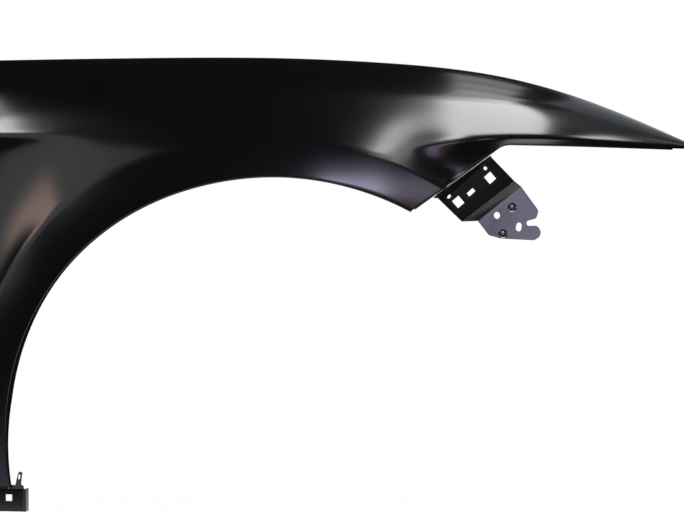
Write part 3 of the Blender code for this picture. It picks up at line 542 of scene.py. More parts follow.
def lamp_corner():
    """Where the bumper seam would meet the lamp edge, and the length of the fillet on each side."""
    level = LAMP_EDGE_HEIGHT + BEND_RADIUS
    corner = BAND_END_X + (level - seam_height(BAND_END_X)) / math.tan(math.radians(SEAM_ANGLE))
    return corner, SEAM_FILLET * math.tan(math.radians(SEAM_ANGLE) / 2)


CORNER_X, CORNER_TANGENT = lamp_corner()
FILLET_FROM = CORNER_X - CORNER_TANGENT * math.cos(math.radians(SEAM_ANGLE))
FILLET_TO = CORNER_X + CORNER_TANGENT


def shoulder_foot(x):
    """Lower border of the shoulder loft: character line, arch crease, character line."""
    if REAR_MEET_X < x < FRONT_MEET_X:
        return crease_height(x)
    if x <= REAR_MEET_X:
        share = (x - REAR_LEAVE) / (REAR_MEET_X - REAR_LEAVE)
        drop = line_height(REAR_MEET_X) - crease_place(REAR_MEET_ANGLE)[1]
    else:
        share = (FRONT_LEAVE - x) / (FRONT_LEAVE - FRONT_MEET_X)
        drop = line_height(FRONT_MEET_X) - crease_place(FRONT_MEET_ANGLE)[1]
    return line_height(x) - drop * max(share, 0.0) ** 2


def nose_edge(x):
    """Lower edge ahead of the arch: bumper seam, rounded corner, lamp edge."""
    if x <= FILLET_FROM:
        return seam_height(x)
    level = LAMP_EDGE_HEIGHT + BEND_RADIUS
    if x >= FILLET_TO:
        return level + LAMP_EDGE_RISE * (x - FILLET_TO) / (FRONT_REACH - FILLET_TO)
    return level - SEAM_FILLET + math.sqrt(SEAM_FILLET ** 2 - (FILLET_TO - x) ** 2)


def seam_strip(x):
    """Height of the flat strip along the bumper seam, which tapers towards the lamp."""
    grown = ease(x, BAND_END_X, BAND_END_X + SEAM_STRIP_START)
    return SEAM_STRIP * grown * max((FILLET_FROM - x) / (FILLET_FROM - BAND_END_X), 0.0)


def shoulder_columns():
    """Places along the car of the shoulder's columns, from the door edge to the tip."""
    rear = spread(-REAR_REACH, REAR_MEET_X, REAR_COLUMNS)
    arch = [crease_place(angle)[0] for angle in CREASE_ANGLES]
    seam = spread(BAND_END_X, BAND_END_X + SEAM_STRIP_START, 1)[1:]
    seam += spread(BAND_END_X + SEAM_STRIP_START, FILLET_FROM, SEAM_COLUMNS)[1:]
    fillet = spread(FILLET_FROM, FILLET_TO, FILLET_COLUMNS)[1:]
    tip = spread(FILLET_TO, FRONT_REACH, TIP_COLUMNS)[1:]
    return rear + arch + seam + fillet + tip


def ruled(columns, lows, highs, shares):
    """Rows of skin points between a lower and an upper line, at shares of the way up."""
    ends = list(zip(columns, lows, highs))
    return [[skin_point(x, (1 - share) * low + share * high) for x, low, high in ends] for share in shares]


def shoulder_loft():
    """Rows of points from the shoulder's lower border up to the crest."""
    columns = shoulder_columns()
    shares = [1 - (1 - part) ** ROW_CROWDING for part in spread(0, 1, SHOULDER_ROWS)]
    return ruled(columns, map(shoulder_foot, columns), map(crest_height, columns), shares)


def side_loft():
    """Leg and rear side, between the line, the arch crease, the foot and the door edge."""
    top = [(x, shoulder_foot(x)) for x in spread(-REAR_REACH, REAR_MEET_X, REAR_COLUMNS)]
    low_angle = foot_angle(crease_radius)
    right = [crease_place(angle) for angle in spread(REAR_MEET_ANGLE, low_angle, SIDE_ROWS)]
    left_foot = (-REAR_REACH + DOOR_SLANT, right[-1][1])
    rows = []
    for v, end in zip(spread(0, 1, SIDE_ROWS), right):
        row = []
        for u, high in zip(spread(0, 1, REAR_COLUMNS), top):
            across = mix(mix(top[0], left_foot, v), end, u)
            down = mix(high, mix(left_foot, right[-1], u), v)
            corners = mix(mix(top[0], top[-1], u), mix(left_foot, right[-1], u), v)
            row.append(skin_point(*[a + b - c for a, b, c in zip(across, down, corners)]))
        rows.append(row)
    return rows


def facet_loft():
    """Undercut facet ahead of the arch and the roll along the lamp edge."""
    columns = [x for x in shoulder_columns() if x >= FRONT_MEET_X - WELD]
    edges = [crease_height(x) if x <= BAND_END_X + WELD else nose_edge(x) for x in columns]
    lines = [low + seam_strip(x) for x, low in zip(columns, edges)]
    rows = ruled(columns, lines, map(shoulder_foot, columns), spread(0, 1, FACET_ROWS))
    strip = []
    for x, low, start in zip(columns, edges, rows[0]):
        inset = start.y + SEAM_STRIP_LEAN * (start.z - low)
        strip.append(Vector((x, inset, low)))
    return [strip] + rows


def band_loft():
    """Band around the wheel opening, from the foot to the bumper seam."""
    low_crease = foot_angle(crease_radius)
    low_lip = foot_angle(lip_radius)
    pairs = []
    for outer in spread(low_crease, REAR_MEET_ANGLE, SIDE_ROWS) + CREASE_ANGLES:
        progress = (outer - low_crease) / (BAND_END_ANGLE - low_crease)
        inner = low_lip + (LIP_END_ANGLE - low_lip) * progress
        pairs.append((arch_place(lip_radius(inner), inner), crease_place(outer)))
    return [[skin_point(*mix(lip, crease, share)) for lip, crease in pairs]
            for share in spread(0, 1, BAND_ROWS)]


def mix(low, high, share):
    """Point a share of the way from one point to another."""
    return tuple((1 - share) * a + share * b for a, b in zip(low, high))


def turn(start, heading, target, radius):
    """Points of a bend from one heading to another, after the start."""
    side = (target - heading * target.dot(heading)).normalized()
    angle = heading.angle(target)
    points = []
    for k in range(1, BEND_STEPS + 1):
        swept = angle * k / BEND_STEPS
        points.append(start + radius * (math.sin(swept) * heading + (1 - math.cos(swept)) * side))
    return points


def step_at(border, i):
    """Step along a border from the point before to the point after."""
    return border[min(i + 1, len(border) - 1)] - border[max(i - 1, 0)]


def edge_headings(border, inner):
    """At each border point, the direction that carries the skin on past its edge."""
    headings = []
    for i, point in enumerate(border):
        tangent = step_at(border, i).normalized()
        outward = point - inner[i]
        outward -= tangent * outward.dot(tangent)
        headings.append(outward.normalized())
    return headings


def return_flange(border, inner, width_at, lean_at=lambda _: 0.0):
    """Rows of one bend and one flat return that runs inboard, leaning on past the edge by some degrees."""
    inboard = Vector((0, 1, 0))
    lines = []
    for i, heading in enumerate(edge_headings(border, inner)):
        slant = math.radians(lean_at(i))
        level = (heading - inboard * heading.dot(inboard)).normalized()
        target = inboard * math.cos(slant) + level * math.sin(slant)
        line = turn(border[i], heading, target, BEND_RADIUS)
        line.append(line[-1] + target * width_at(i))
        lines.append(line)
    return [list(border)] + [list(row) for row in zip(*lines)]


def hood_ledge_height(x):
    """Height of the hood-side ledge: level at each bolt pad, sloping between them."""
    half = HOOD_PAD_LENGTH / 2
    places = [-REAR_REACH]
    crests = [-REAR_REACH]
    for centre in HOOD_PAD_PLACES:
        places += [centre - half, centre + half]
        crests += [centre, centre]
    heights = [crest_height(crest) - HOOD_WALL for crest in crests + [FRONT_REACH]]
    return float(np.interp(x, places + [FRONT_REACH], heights))


def hood_ledge_width(x):
    """Width of the ledge, with an ear at each bolt pad."""
    half = HOOD_PAD_LENGTH / 2
    ears = [1 - ease(abs(x - centre), half - HOOD_PAD_EXTRA, half) for centre in HOOD_PAD_PLACES]
    taper = 1 - ease(x, HOOD_PAD_PLACES[-1] + half, HOOD_FLANGE_TO) / 2
    return HOOD_LEDGE * taper + HOOD_PAD_EXTRA * max(ears)


def hood_flange(crest, inner):
    """Bend, wall, bend and ledge along the crest, on the side of the hood."""
    lean = math.radians(HOOD_WALL_LEAN)
    up = Vector((0, 0, 1))
    lines = []
    for i, heading in enumerate(edge_headings(crest, inner)):
        inboard = up.cross(step_at(crest, i)).normalized()
        down = inboard * math.sin(lean) - up * math.cos(lean)
        first = turn(crest[i], heading, down, BEND_RADIUS)
        second = turn(first[-1], down, inboard, BEND_RADIUS)
        spare = second[-1].z - hood_ledge_height(crest[i].x)
        wall = down * (spare / math.cos(lean))
        lowered = [point + wall for point in [first[-1]] + second]
        width = hood_ledge_width(crest[i].x)
        lines.append(first + lowered + [lowered[-1] + inboard * width])
    return [list(crest)] + [list(row) for row in zip(*lines)]


def crest_run(shoulder):
    """Stretch of the crest that carries the hood-side flange, and the row of points below it."""
    keep = [i for i, point in enumerate(shoulder[-1]) if HOOD_FLANGE_FROM < point.x < HOOD_FLANGE_TO]
    return [shoulder[-1][i] for i in keep], [shoulder[-2][i] for i in keep]


def arch_flange(band):
    """Return around the wheel opening, narrower at both ends, and leaning out along the leg."""
    lip = band[0]
    taper = len(lip) // 8

    def width_at(i):
        return ARCH_RETURN * min(1.0, (min(i, len(lip) - 1 - i) + 1) / (taper + 1))

    def lean_at(i):
        angle = math.degrees(math.atan2(lip[i].x, lip[i].z))
        return ARCH_RETURN_LEAN * (1 - ease(angle, *ARCH_LEAN_ANGLES))
    return return_flange(lip, band[1], width_at, lean_at)


def door_flange(shoulder, side):
    """Return along the door edge, with a bolt tab at each named height."""
    rows = (shoulder[::-1] + side[1:])[1:-1]
    door = [row[0] for row in rows]
    inner = [row[1] for row in rows]
    half = DOOR_TAB_LENGTH / 2

    def width_at(i):
        tabs = [1 - ease(abs(door[i].z - height), half / 2, half) for height in DOOR_TAB_HEIGHTS]
        return DOOR_RETURN + DOOR_TAB_EXTRA * max(tabs)
    return return_flange(door, inner, width_at)


def nose_flange(band, facet):
    """Return along the bumper seam, around its rounded corner and along the lamp edge."""
    edge = [row[-1] for row in band[1:]]
    inner = [row[-2] for row in band[1:]]
    for point, near in zip(facet[0], facet[2]):
        if BAND_END_X + WELD < point.x < LAMP_RETURN_TO:
            edge.append(point)
            inner.append(near)
    return return_flange(edge, inner, lambda _: NOSE_EDGE_RETURN)


def ledge_place(hood, x):
    """Point on the ledge's upper face, midway between its bend and its free edge."""
    middles = [(bend + edge) / 2 for bend, edge in zip(hood[-2], hood[-1])]
    for low, high in zip(middles, middles[1:]):
        if low.x <= x < high.x:
            return low.lerp(high, (x - low.x) / (high.x - low.x))
    return middles[0]


def add_loft(mesh, rows):
    """Adds a loft of quads, or triangles where two corners meet."""
    grid = [[mesh.verts.new(point) for point in row] for row in rows]
    for low, high in zip(grid, grid[1:]):
        for i in range(len(low) - 1):
            kept = []
            for vert in (low[i], low[i + 1], high[i + 1], high[i]):
                if all((vert.co - other.co).length > WELD for other in kept):
                    kept.append(vert)
            if len(kept) > 2:
                mesh.faces.new(kept)


def linked(name, data):
    """New object of the scene with the data given."""
    item = bpy.data.objects.new(name, data)
    bpy.context.scene.collection.objects.link(item)
    return item


def mesh_object(name, mesh):
    data = bpy.data.meshes.new(name)
    mesh.to_mesh(data)
    mesh.free()
    return linked(name, data)


def sheet_object(name, mesh, thickness, outward):
    """Solid of even thickness behind an open sheet whose drawn side looks outward."""
    bmesh.ops.remove_doubles(mesh, verts=mesh.verts, dist=WELD)
    loose = [vert for vert in mesh.verts if not vert.link_faces]
    bmesh.ops.delete(mesh, geom=loose, context='VERTS')
    bmesh.ops.recalc_face_normals(mesh, faces=mesh.faces)
    if sum(face.normal.dot(outward) * face.calc_area() for face in mesh.faces) < 0:
        bmesh.ops.reverse_faces(mesh, faces=mesh.faces)
    piece = mesh_object(name, mesh)
    piece.data.shade_smooth()
    piece.data.set_sharp_from_angle(angle=math.radians(SHARP_ANGLE))
    shell = piece.modifiers.new("sheet", 'SOLIDIFY')
    shell.thickness = thickness
    shell.offset = -1
    shell.use_even_offset = True
    return piece


def rounded_hole(length, width, corner):
    """Outline of a hole, long side first, with rounded corners."""
    points = []
    reach_x = length / 2 - corner
    reach_y = width / 2 - corner
    for quarter in range(4):
        middle = Vector((reach_x if quarter in (0, 3) else -reach_x, reach_y if quarter < 2 else -reach_y))
        for k in range(CORNER_STEPS + 1):
            angle = math.pi / 2 * (quarter + k / CORNER_STEPS)
            points.append(middle + corner * Vector((math.cos(angle), math.sin(angle))))
    return points


def round_hole(radius):
    angles = [2 * math.pi * k / ROUND_STEPS for k in range(ROUND_STEPS)]
    return [radius * Vector((math.cos(angle), math.sin(angle))) for angle in angles]


def add_prism(mesh, outline, frame, level=0.0):
    """Adds a closed prism through the sheet that lies at a level of the frame's third axis."""
    kept = distinct(outline)
    bottom = [mesh.verts.new(frame @ Vector((point.x, point.y, level - CUT_OVERRUN))) for point in kept]
    top = [mesh.verts.new(frame @ Vector((point.x, point.y, level + CUT_OVERRUN))) for point in kept]
    mesh.faces.new(bottom[::-1])
    mesh.faces.new(top)
    for i in range(len(bottom)):
        after = (i + 1) % len(bottom)
        mesh.faces.new((bottom[i], bottom[after], top[after], top[i]))


def distinct(outline):
    """The outline without points that fall on the one before."""
    return [point for i, point in enumerate(outline) if (point - outline[i - 1]).length > WELD]


def cut(piece, mesh):
    """Cuts closed prisms out of a piece."""
    bmesh.ops.recalc_face_normals(mesh, faces=mesh.faces)
    cutter = mesh_object(piece.name + "_cutter", mesh)
    cutter.hide_render = True
    cutter.display_type = 'WIRE'
    holes = piece.modifiers.new("holes", 'BOOLEAN')
    holes.operation = 'DIFFERENCE'
    holes.solver = 'EXACT'
    holes.object = cutter


def frame_at(origin, first, second):
    """Matrix whose axes are the first direction, the second and their cross product."""
    matrix = Matrix((first, second, first.cross(second))).transposed().to_4x4()
    matrix.translation = origin
    return matrix


def spun(frame, x, y, angle=0.0):
    """The frame moved in its own plane and turned about its third axis."""
    return frame @ Matrix.Translation((x, y, 0)) @ Matrix.Rotation(math.radians(angle), 4, 'Z')


def panel_holes(hood, door):
    """Bolt slots through the hood-side pads and bolt holes through the door tabs."""
    mesh = bmesh.new()
    slot = rounded_hole(2 * HOOD_BOLT_RADIUS + HOOD_BOLT_SLOT, 2 * HOOD_BOLT_RADIUS, HOOD_BOLT_RADIUS)
    for centre in HOOD_PAD_PLACES:
        place = ledge_place(hood, centre + HOOD_BOLT_OFFSET)
        add_prism(mesh, slot, frame_at(place, Vector((1, 0, 0)), Vector((0, 1, 0))))
    for height in DOOR_TAB_HEIGHTS:
        i = min(range(len(door[-1])), key=lambda index: abs(door[-1][index].z - height))
        place = (door[-2][i] + door[-1][i]) / 2
        add_prism(mesh, round_hole(DOOR_BOLT_RADIUS), frame_at(place, Vector((0, 1, 0)), Vector((0, 0, 1))))
    return mesh


def make_panel():
    """The stamped skin; gives the piece and the rows of its hood-side flange."""
    shoulder = shoulder_loft()
    side = side_loft()
    facet = facet_loft()
    band = band_loft()
    hood = hood_flange(*crest_run(shoulder))
    door = door_flange(shoulder, side)
    foot = return_flange(side[-1][1:-1], side[-2][1:-1], lambda _: FOOT_SHELF)
    flanges = (hood, door, foot, arch_flange(band), nose_flange(band, facet))
    mesh = bmesh.new()
    for rows in (shoulder, side, facet, band) + flanges:
        add_loft(mesh, rows)
    piece = sheet_object("fender_panel", mesh, SHEET, Vector((0, -1, 0)))
    cut(piece, panel_holes(hood, door))
    return piece, hood


def corner_arc(before, corner, after, radius):
    """Points that round one corner of an outline."""
    back = (before - corner).normalized()
    ahead = (after - corner).normalized()
    half = back.angle(ahead) / 2
    reach = min(radius / math.tan(half), (before - corner).length / 2, (after - corner).length / 2)
    middle = corner + (back + ahead).normalized() * (reach / math.cos(half))
    start = corner + back * reach - middle
    end = corner + ahead * reach - middle
    first = start.normalized()
    last = end.normalized()
    return [middle + first.slerp(last, k / CORNER_STEPS) * start.length for k in range(CORNER_STEPS + 1)]


def rounded(corners, radius_at):
    """Points along a run of corners, each rounded but for both ends, which are left out."""
    points = []
    for i in range(1, len(corners) - 1):
        points += corner_arc(corners[i - 1], corners[i], corners[i + 1], radius_at(i))
    return points


def placed(frame, rows):
    """Rows of points carried from a frame's own axes to those of the skin."""
    return [[frame @ point for point in row] for row in rows]


def bracket_frame():
    """Frame on the seam's edge: along the seam, away from it, and inboard."""
    slant = math.radians(SEAM_ANGLE)
    away = Vector((math.sin(slant), 0, -math.cos(slant)))
    start = skin_point(BRACKET_FROM, nose_edge(BRACKET_FROM)) + BEND_RADIUS * away
    end = skin_point(FILLET_FROM, nose_edge(FILLET_FROM)) + BEND_RADIUS * away
    return frame_at(start, (end - start).normalized(), away)


def make_front_bracket():
    """Joggled bracket under the bumper seam."""
    frame = bracket_frame()
    setback = BEND_RADIUS + BRACKET_SHEET
    tab = [[Vector((share * BRACKET_WIDTH, WELD_GAP, w)) for share in TAB_ENDS_SHARES]
           for w in (setback + BRACKET_TAB, setback + BRACKET_BEND)]
    strip = [Vector((share * BRACKET_WIDTH, WELD_GAP + BRACKET_BEND, setback)) for share in STRIP_ENDS_SHARES]
    ease_in = [point.lerp(other, 0.5) - Vector((0, BRACKET_BEND / 4, BRACKET_BEND / 4))
               for point, other in zip(tab[1], strip)]
    plate_w = BEND_RADIUS + PLATE_SETBACK
    plate = [[Vector((u * BRACKET_WIDTH, v * PLATE_DEPTH, plate_w)) for u, v in shares]
             for shares in (PLATE_TOP_SHARES, PLATE_FOOT_SHARES)]
    leaf_v = PLATE_DEPTH + JOGGLE_RUN
    leaf_w = plate_w + JOGGLE_STEP
    tilt = math.radians(LEAF_TILT)

    def on_leaf(u, v):
        return Vector((u * BRACKET_WIDTH, leaf_v + v * LEAF_DEPTH * math.cos(tilt),
                       leaf_w + v * LEAF_DEPTH * math.sin(tilt)))
    leaf_top = [on_leaf(u, v) for u, v in LEAF_TOP_SHARES]
    corners = [leaf_top[1]] + [on_leaf(u, v) for u, v in LEAF_OUTLINE_SHARES] + [leaf_top[0]]
    leaf = leaf_top + rounded(corners, lambda i: NOTCH_CORNER if i in NOTCH_POINTS else LEAF_CORNER)

    mesh = bmesh.new()
    add_loft(mesh, placed(frame, tab + [ease_in, strip] + plate + [leaf_top]))
    mesh.faces.new([mesh.verts.new(frame @ point) for point in leaf])
    outward = -(frame.to_3x3() @ Vector((0, 0, 1)))
    piece = sheet_object("front_bracket", mesh, BRACKET_SHEET, outward)
    cut(piece, front_bracket_holes(frame, plate_w, frame @ on_leaf(0, 0)))
    return piece


def front_bracket_holes(frame, plate_w, leaf_corner):
    """Square, long, small, round and oval holes of the front bracket."""
    mesh = bmesh.new()
    leaf = frame.copy()
    leaf.translation = leaf_corner
    leaf = leaf @ Matrix.Rotation(math.radians(LEAF_TILT), 4, 'X')

    def punch(outline, shares, angle=0.0, base=frame, depth=PLATE_DEPTH, level=plate_w):
        add_prism(mesh, outline, spun(base, shares[0] * BRACKET_WIDTH, shares[1] * depth, angle), level)
    square = rounded_hole(SQUARE_HOLE, SQUARE_HOLE, SHEET)
    for shares in SQUARE_HOLE_SHARES:
        punch(square, shares, SQUARE_TURN)
    punch(round_hole(PILOT_RADIUS), PILOT_SHARES)
    punch(rounded_hole(*SMALL_SLOT, SMALL_SLOT[1] / 2), SMALL_SLOT_SHARES, SQUARE_TURN)
    punch(rounded_hole(*LONG_HOLE, SHEET), LONG_HOLE_SHARES, SQUARE_TURN)
    punch(round_hole(LEAF_HOLE_RADIUS), LEAF_HOLE_SHARES, 0.0, leaf, LEAF_DEPTH, 0.0)
    oval = rounded_hole(*LEAF_OVAL, LEAF_OVAL[1] / 2)
    punch(oval, LEAF_OVAL_SHARES, LEAF_OVAL_TURN, leaf, LEAF_DEPTH, 0.0)
    return mesh


def lower_frame():
    """Frame at the foot's front end: back along the foot, inboard, and up."""
    front = skin_point(-FOOT_FRONT_SHARE * ARCH_RADIUS, -FOOT_DROP)
    plan = math.radians(FOOT_PLAN_ANGLE)
    back = Vector((-math.cos(plan), math.sin(plan), 0))
    inboard = Vector((math.sin(plan), math.cos(plan), 0))
    matrix = Matrix((back, inboard, Vector((0, 0, 1)))).transposed().to_4x4()
    matrix.translation = Vector((front.x, front.y, -FOOT_DROP))
    return matrix


def nose_fold(edge):
    """Lines of the bend and the flat return on the front edge of the lower plate."""
    ahead = Vector((-1, 0, 0))
    lean = math.radians(NOSE_RETURN_LEAN)
    folded = ahead * math.sin(lean) + Vector((0, 1, 0)) * math.cos(lean)
    lines = []
    for point in edge:
        line = [point] + turn(point, ahead, folded, LOWER_BEND)
        lines.append(line + [line[-1] + folded * NOSE_RETURN])
    return lines


def lower_bracket_holes(frame, rear, blade):
    """Square holes of the lower plate, and the slot in the frame of its tab."""
    mesh = bmesh.new()
    square = rounded_hole(LOWER_SQUARE, LOWER_SQUARE, SHEET / 2)
    facing = frame @ Matrix.Rotation(math.radians(90), 4, 'X')
    for share in LOWER_SQUARE_SHARES:
        place = spun(facing, share * rear, -WELD_GAP - LOWER_SQUARE_DROP)
        add_prism(mesh, square, place, -LOWER_SETBACK)
    add_prism(mesh, rounded_hole(*TAB_SLOT, TAB_SLOT[1] / 2), blade)
    return mesh


def make_lower_bracket():
    """Plate under the foot, with a shelf, a folded nose and a slotted tab."""
    frame = lower_frame()
    face = LOWER_SETBACK
    top = -WELD_GAP
    low = top - LOWER_HEIGHT
    rear = LOWER_LENGTH_SHARE * (REAR_REACH - DOOR_SLANT - FOOT_FRONT_SHARE * ARCH_RADIUS)
    nose = -LOWER_NOSE
    outboard = Vector((0, -1, 0))
    shelf_front = [Vector((x, face + LOWER_BEND, top)) for x in (rear, SHELF_START)]
    bends = [[point] + turn(point, outboard, Vector((0, 0, -1)), LOWER_BEND) for point in shelf_front]
    shelf = shelf_front + [point + Vector((0, SHELF_DEPTH, 0)) for point in shelf_front[::-1]]

    lean = math.radians(TAB_LEAN)
    level = bends[1][-1].z
    up = Vector((0, math.sin(lean), math.cos(lean)))

    def on_tab(share, rise):
        return Vector((share * nose, face, level)) + up * (rise * TAB_HEIGHT)
    root = [on_tab(share, 0) for share in TAB_ROOT_SHARES]
    corners = root[:1] + [on_tab(*shares) for shares in TAB_NOSE_SHARES] + root[1:]
    blade = root[::-1] + rounded(corners, lambda _: TAB_CORNER)
    nose_edge_points = [Vector((nose, face, level)), Vector((nose, face, low))]
    plate = [bend[-1] for bend in bends] + root[::-1] + nose_edge_points + [Vector((rear, face, low))]

    mesh = bmesh.new()
    add_loft(mesh, placed(frame, zip(*bends)))
    add_loft(mesh, placed(frame, zip(*nose_fold(nose_edge_points))))
    for outline in (shelf, blade, plate):
        mesh.faces.new([mesh.verts.new(frame @ point) for point in outline])
    piece = sheet_object("lower_bracket", mesh, LOWER_SHEET, frame.to_3x3() @ outboard)
    blade_frame = frame @ frame_at(on_tab(*TAB_SLOT_SHARES), up, Vector((-1, 0, 0)))
    cut(piece, lower_bracket_holes(frame, rear, blade_frame))
    return piece


def round_bends(piece):
    """Rounds the bends of a folded bracket before its sheet gets its thickness."""
    piece.data.shade_flat()
    fillet = piece.modifiers.new("bends", 'BEVEL')
    fillet.limit_method = 'ANGLE'
    fillet.angle_limit = math.radians(FILLET_ANGLE)
    fillet.width = BRACKET_FILLET
    fillet.segments = FILLET_STEPS
    fillet.harden_normals = False
    piece.modifiers.move(len(piece.modifiers) - 1, 0)


def finished(piece, name, cad_node, origin, coat):
    """Applies the modifiers, moves the mesh into the model's frame and hides the CAD node it replaces."""
    graph = bpy.context.evaluated_depsgraph_get()
    mesh = bpy.data.meshes.new_from_object(piece.evaluated_get(graph))
    mesh.transform(Matrix.Translation(-origin))
    mesh.shade_smooth()
    mesh.set_sharp_from_angle(angle=math.radians(SHARP_ANGLE))
    mesh.materials.clear()
    mesh.materials.append(coat)
    mesh.name = name
    bpy.data.objects.remove(piece, do_unlink=True)
    dressed = linked(name, mesh)
    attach(dressed, "root")
    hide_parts(cad_node)
    return dressed


def feed(tree, node, values):
    """Gives each named socket of a shader node a constant, an output, or the first output of a node."""
    for socket, value in values.items():
        if isinstance(value, bpy.types.Node):
            value = value.outputs[0]
        if isinstance(value, bpy.types.NodeSocket):
            tree.links.new(value, node.inputs[socket])
        else:
            node.inputs[socket].default_value = value


def add_node(tree, kind, values, operation=None):
    """Adds a shader node with its values and, where it has one, its operation."""
    node = tree.nodes.new(kind)
    if operation:
        node.operation = operation
    feed(tree, node, values)
    return node


def primer_material(name, dimples=()):
    """Black dip-coat primer: semi-gloss, with orange peel, a faint cloudiness and pressed ring dimples."""
    material = bpy.data.materials.new(name)
    material.use_nodes = True
    tree = material.node_tree
    place = tree.nodes.new("ShaderNodeTexCoord").outputs["Object"]

    def noise(scale, detail):
        return add_node(tree, "ShaderNodeTexNoise", {"Vector": place, "Scale": scale, "Detail": detail})
    low, high = COAT_ROUGHNESS_RANGE
    gloss = add_node(tree, "ShaderNodeMapRange",
                     {"Value": noise(CLOUD_SCALE, CLOUD_DETAIL), "To Min": low, "To Max": high})
    tint = tree.nodes.new("ShaderNodeMix")
    tint.data_type = 'RGBA'
    feed(tree, tint, {"Factor": noise(TINT_SCALE, CLOUD_DETAIL), "A": COAT_DARK, "B": COAT_LIGHT})
    peel = {"Strength": PEEL_STRENGTH, "Distance": PEEL_DEPTH, "Height": noise(PEEL_SCALE, PEEL_DETAIL)}
    surface = add_node(tree, "ShaderNodeBump", peel)
    grain = {"Strength": GRAIN_STRENGTH, "Distance": GRAIN_DEPTH, "Height": noise(GRAIN_SCALE, PEEL_DETAIL)}
    surface = add_node(tree, "ShaderNodeBump", {"Normal": surface, **grain})
    for middle in dimples:
        surface = dimple(tree, place, surface, middle)
    feed(tree, tree.nodes["Principled BSDF"],
         {"IOR": COAT_IOR, "Roughness": gloss, "Base Color": tint.outputs["Result"], "Normal": surface})
    return material


def dimple(tree, place, surface, middle):
    """Presses a soft ring about an axis that runs inboard into a surface normal."""
    centre = (middle[0], 0, middle[1])
    flat = add_node(tree, "ShaderNodeVectorMath", {0: place, 1: (1, 0, 1)}, 'MULTIPLY')
    reach = add_node(tree, "ShaderNodeVectorMath", {0: flat, 1: centre}, 'DISTANCE')
    away = add_node(tree, "ShaderNodeMath", {0: reach.outputs["Value"], 1: DIMPLE_RADIUS}, 'SUBTRACT')
    size = add_node(tree, "ShaderNodeMath", {0: away}, 'ABSOLUTE')
    groove = tree.nodes.new("ShaderNodeMapRange")
    groove.interpolation_type = 'SMOOTHSTEP'
    feed(tree, groove, {"Value": size, "From Max": DIMPLE_RIM})
    return add_node(tree, "ShaderNodeBump", {"Distance": DIMPLE_DEPTH, "Height": groove, "Normal": surface})


def flat_light(name, plane, across, rise, radiance, colour):
    """Area lamp that lies on a plane at a distance from a spot, in the direction the plane faces."""
    spot, distance, facing, upright = plane
    normal = Vector(facing).normalized()
    up = Vector(upright)
    up = (up - normal * up.dot(normal)).normalized()
    side = up.cross(normal)
    data = bpy.data.lights.new(name, 'AREA')
    data.shape = 'RECTANGLE'
    data.size = distance * (across[1] - across[0])
    data.size_y = distance * (rise[1] - rise[0])
    data.energy = radiance * math.pi * data.size * data.size_y
    data.color = colour
    lamp = linked(name, data)
    lamp.matrix_world = Matrix((side, up, normal)).transposed().to_4x4()
    middle = normal + side * (sum(across) / 2) + up * (sum(rise) / 2)
    lamp.location = Vector(spot) + middle * distance
    lamp.visible_camera = False
    lamp.visible_diffuse = False
    return lamp


def make_key():
    """Soft key from above and in front: with the world's fill it lights the colour at its plain level."""
    reach = (-KEY_REACH, KEY_REACH)
    key = flat_light("key", KEY_PLANE, reach, reach, KEY_RADIANCE, NEUTRAL)
    key.visible_diffuse = True
    key.visible_glossy = False


def seen_ray(tree):
    """1 for rays that show the stage: straight from the camera, mirrored or through glass."""
    path = tree.nodes.new("ShaderNodeLightPath")
    total = path.outputs["Is Camera Ray"]
    for kind in ("Is Glossy Ray", "Is Transmission Ray"):
        total = add_node(tree, "ShaderNodeMath", {0: total, 1: path.outputs[kind]}, 'MAXIMUM')
    return total


def make_world():
    """White behind everything that a camera, a mirror or glass shows, and a low even fill."""
    world = bpy.data.worlds.new("studio")
    bpy.context.scene.world = world
    world.use_nodes = True
    tree = world.node_tree
    tree.nodes.clear()
    fill = add_node(tree, "ShaderNodeBackground", {"Color": FILL_COLOUR, "Strength": FILL_STRENGTH})
    white = add_node(tree, "ShaderNodeBackground", {"Color": WHITE})
    mixed = add_node(tree, "ShaderNodeMixShader", {"Fac": seen_ray(tree), 1: fill, 2: white})
    add_node(tree, "ShaderNodeOutputWorld", {"Surface": mixed})


def glowing(name, colour, shown=1.0):
    """Stage material: a matt colour, mostly replaced by its own glow for rays that show the stage."""
    material = bpy.data.materials.new(name)
    material.use_nodes = True
    tree = material.node_tree
    tree.nodes.clear()
    matt = add_node(tree, "ShaderNodeBsdfDiffuse", {"Color": colour})
    glow = add_node(tree, "ShaderNodeEmission", {"Color": colour})
    share = add_node(tree, "ShaderNodeMath", {0: seen_ray(tree), 1: shown}, 'MULTIPLY')
    mixed = add_node(tree, "ShaderNodeMixShader", {"Fac": share, 1: matt, 2: glow})
    add_node(tree, "ShaderNodeOutputMaterial", {"Surface": mixed})
    return material


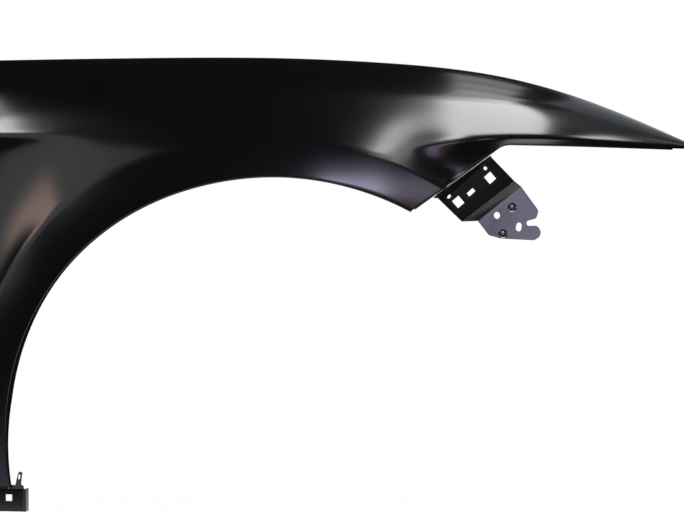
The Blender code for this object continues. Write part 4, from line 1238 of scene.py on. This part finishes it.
def make_floor():
    """Pale floor sheet just under the part."""
    mesh = bmesh.new()
    corners = [mesh.verts.new((x * FLOOR_HALF_WIDTH, y, FLOOR_HEIGHT))
               for x, y in ((-1, FLOOR_FRONT), (1, FLOOR_FRONT), (1, FLOOR_BACK), (-1, FLOOR_BACK))]
    mesh.faces.new(corners)
    floor = mesh_object("floor", mesh)
    floor.data.materials.append(glowing("floor_sheet", WHITE, FLOOR_GLOW))


def make_room():
    """Dark walls and ceiling that only the coat's gloss shows, open to the white behind the part."""
    mesh = bmesh.new()
    rings = ROOM_SEGMENTS // 2
    bmesh.ops.create_uvsphere(mesh, u_segments=ROOM_SEGMENTS, v_segments=rings, radius=ROOM_RADIUS)
    open_side = []
    for face in mesh.faces:
        direction = face.calc_center_median().normalized()
        if direction.y > 0 and ROOM_OPENING[0] < direction.z < ROOM_OPENING[1]:
            open_side.append(face)
    bmesh.ops.delete(mesh, geom=open_side, context='FACES')
    room = mesh_object("dark_room", mesh)
    room.data.materials.append(glowing("dark_walls", ROOM_COLOUR))
    room.visible_camera = False
    room.visible_diffuse = False
    room.visible_shadow = False
    room.visible_transmission = False


def make_camera():
    """Square-on camera at the photograph's distance and height."""
    data = bpy.data.cameras.new("camera")
    data.sensor_width = SENSOR_WIDTH
    data.lens = SENSOR_WIDTH * CAMERA_DISTANCE / FRAME_WIDTH
    camera = linked("camera", data)
    camera.location = CAMERA_PLACE
    camera.rotation_euler = (math.pi / 2, 0, 0)
    bpy.context.scene.camera = camera


def main():
    """Builds and dresses the three pieces, and sets up the stage, the camera and the lights."""
    panel, hood = make_panel()
    front = make_front_bracket()
    lower = make_lower_bracket()
    origin = ledge_place(hood, ORIGIN_PLACE) - Vector((0, 0, SHEET))
    round_bends(front)
    round_bends(lower)
    bpy.context.view_layer.update()
    plain_coat = primer_material("primer_coat")
    dimpled_coat = primer_material("dimpled_primer_coat", DIMPLES)
    finished(panel, "fender_skin", "fender_panel", origin, plain_coat)
    finished(front, "bumper_bracket", "front_bracket", origin, dimpled_coat)
    finished(lower, "sill_bracket", "lower_bracket", origin, plain_coat)
    for item in list(bpy.data.objects):
        if item.name.endswith("_cutter"):
            bpy.data.objects.remove(item, do_unlink=True)
    make_world()
    make_room()
    make_floor()
    make_camera()
    for settings in LIGHTS:
        flat_light(*settings)
    make_key()
    bpy.context.scene.view_settings.view_transform = 'Standard'


main()
bpy.context.view_layer.update()
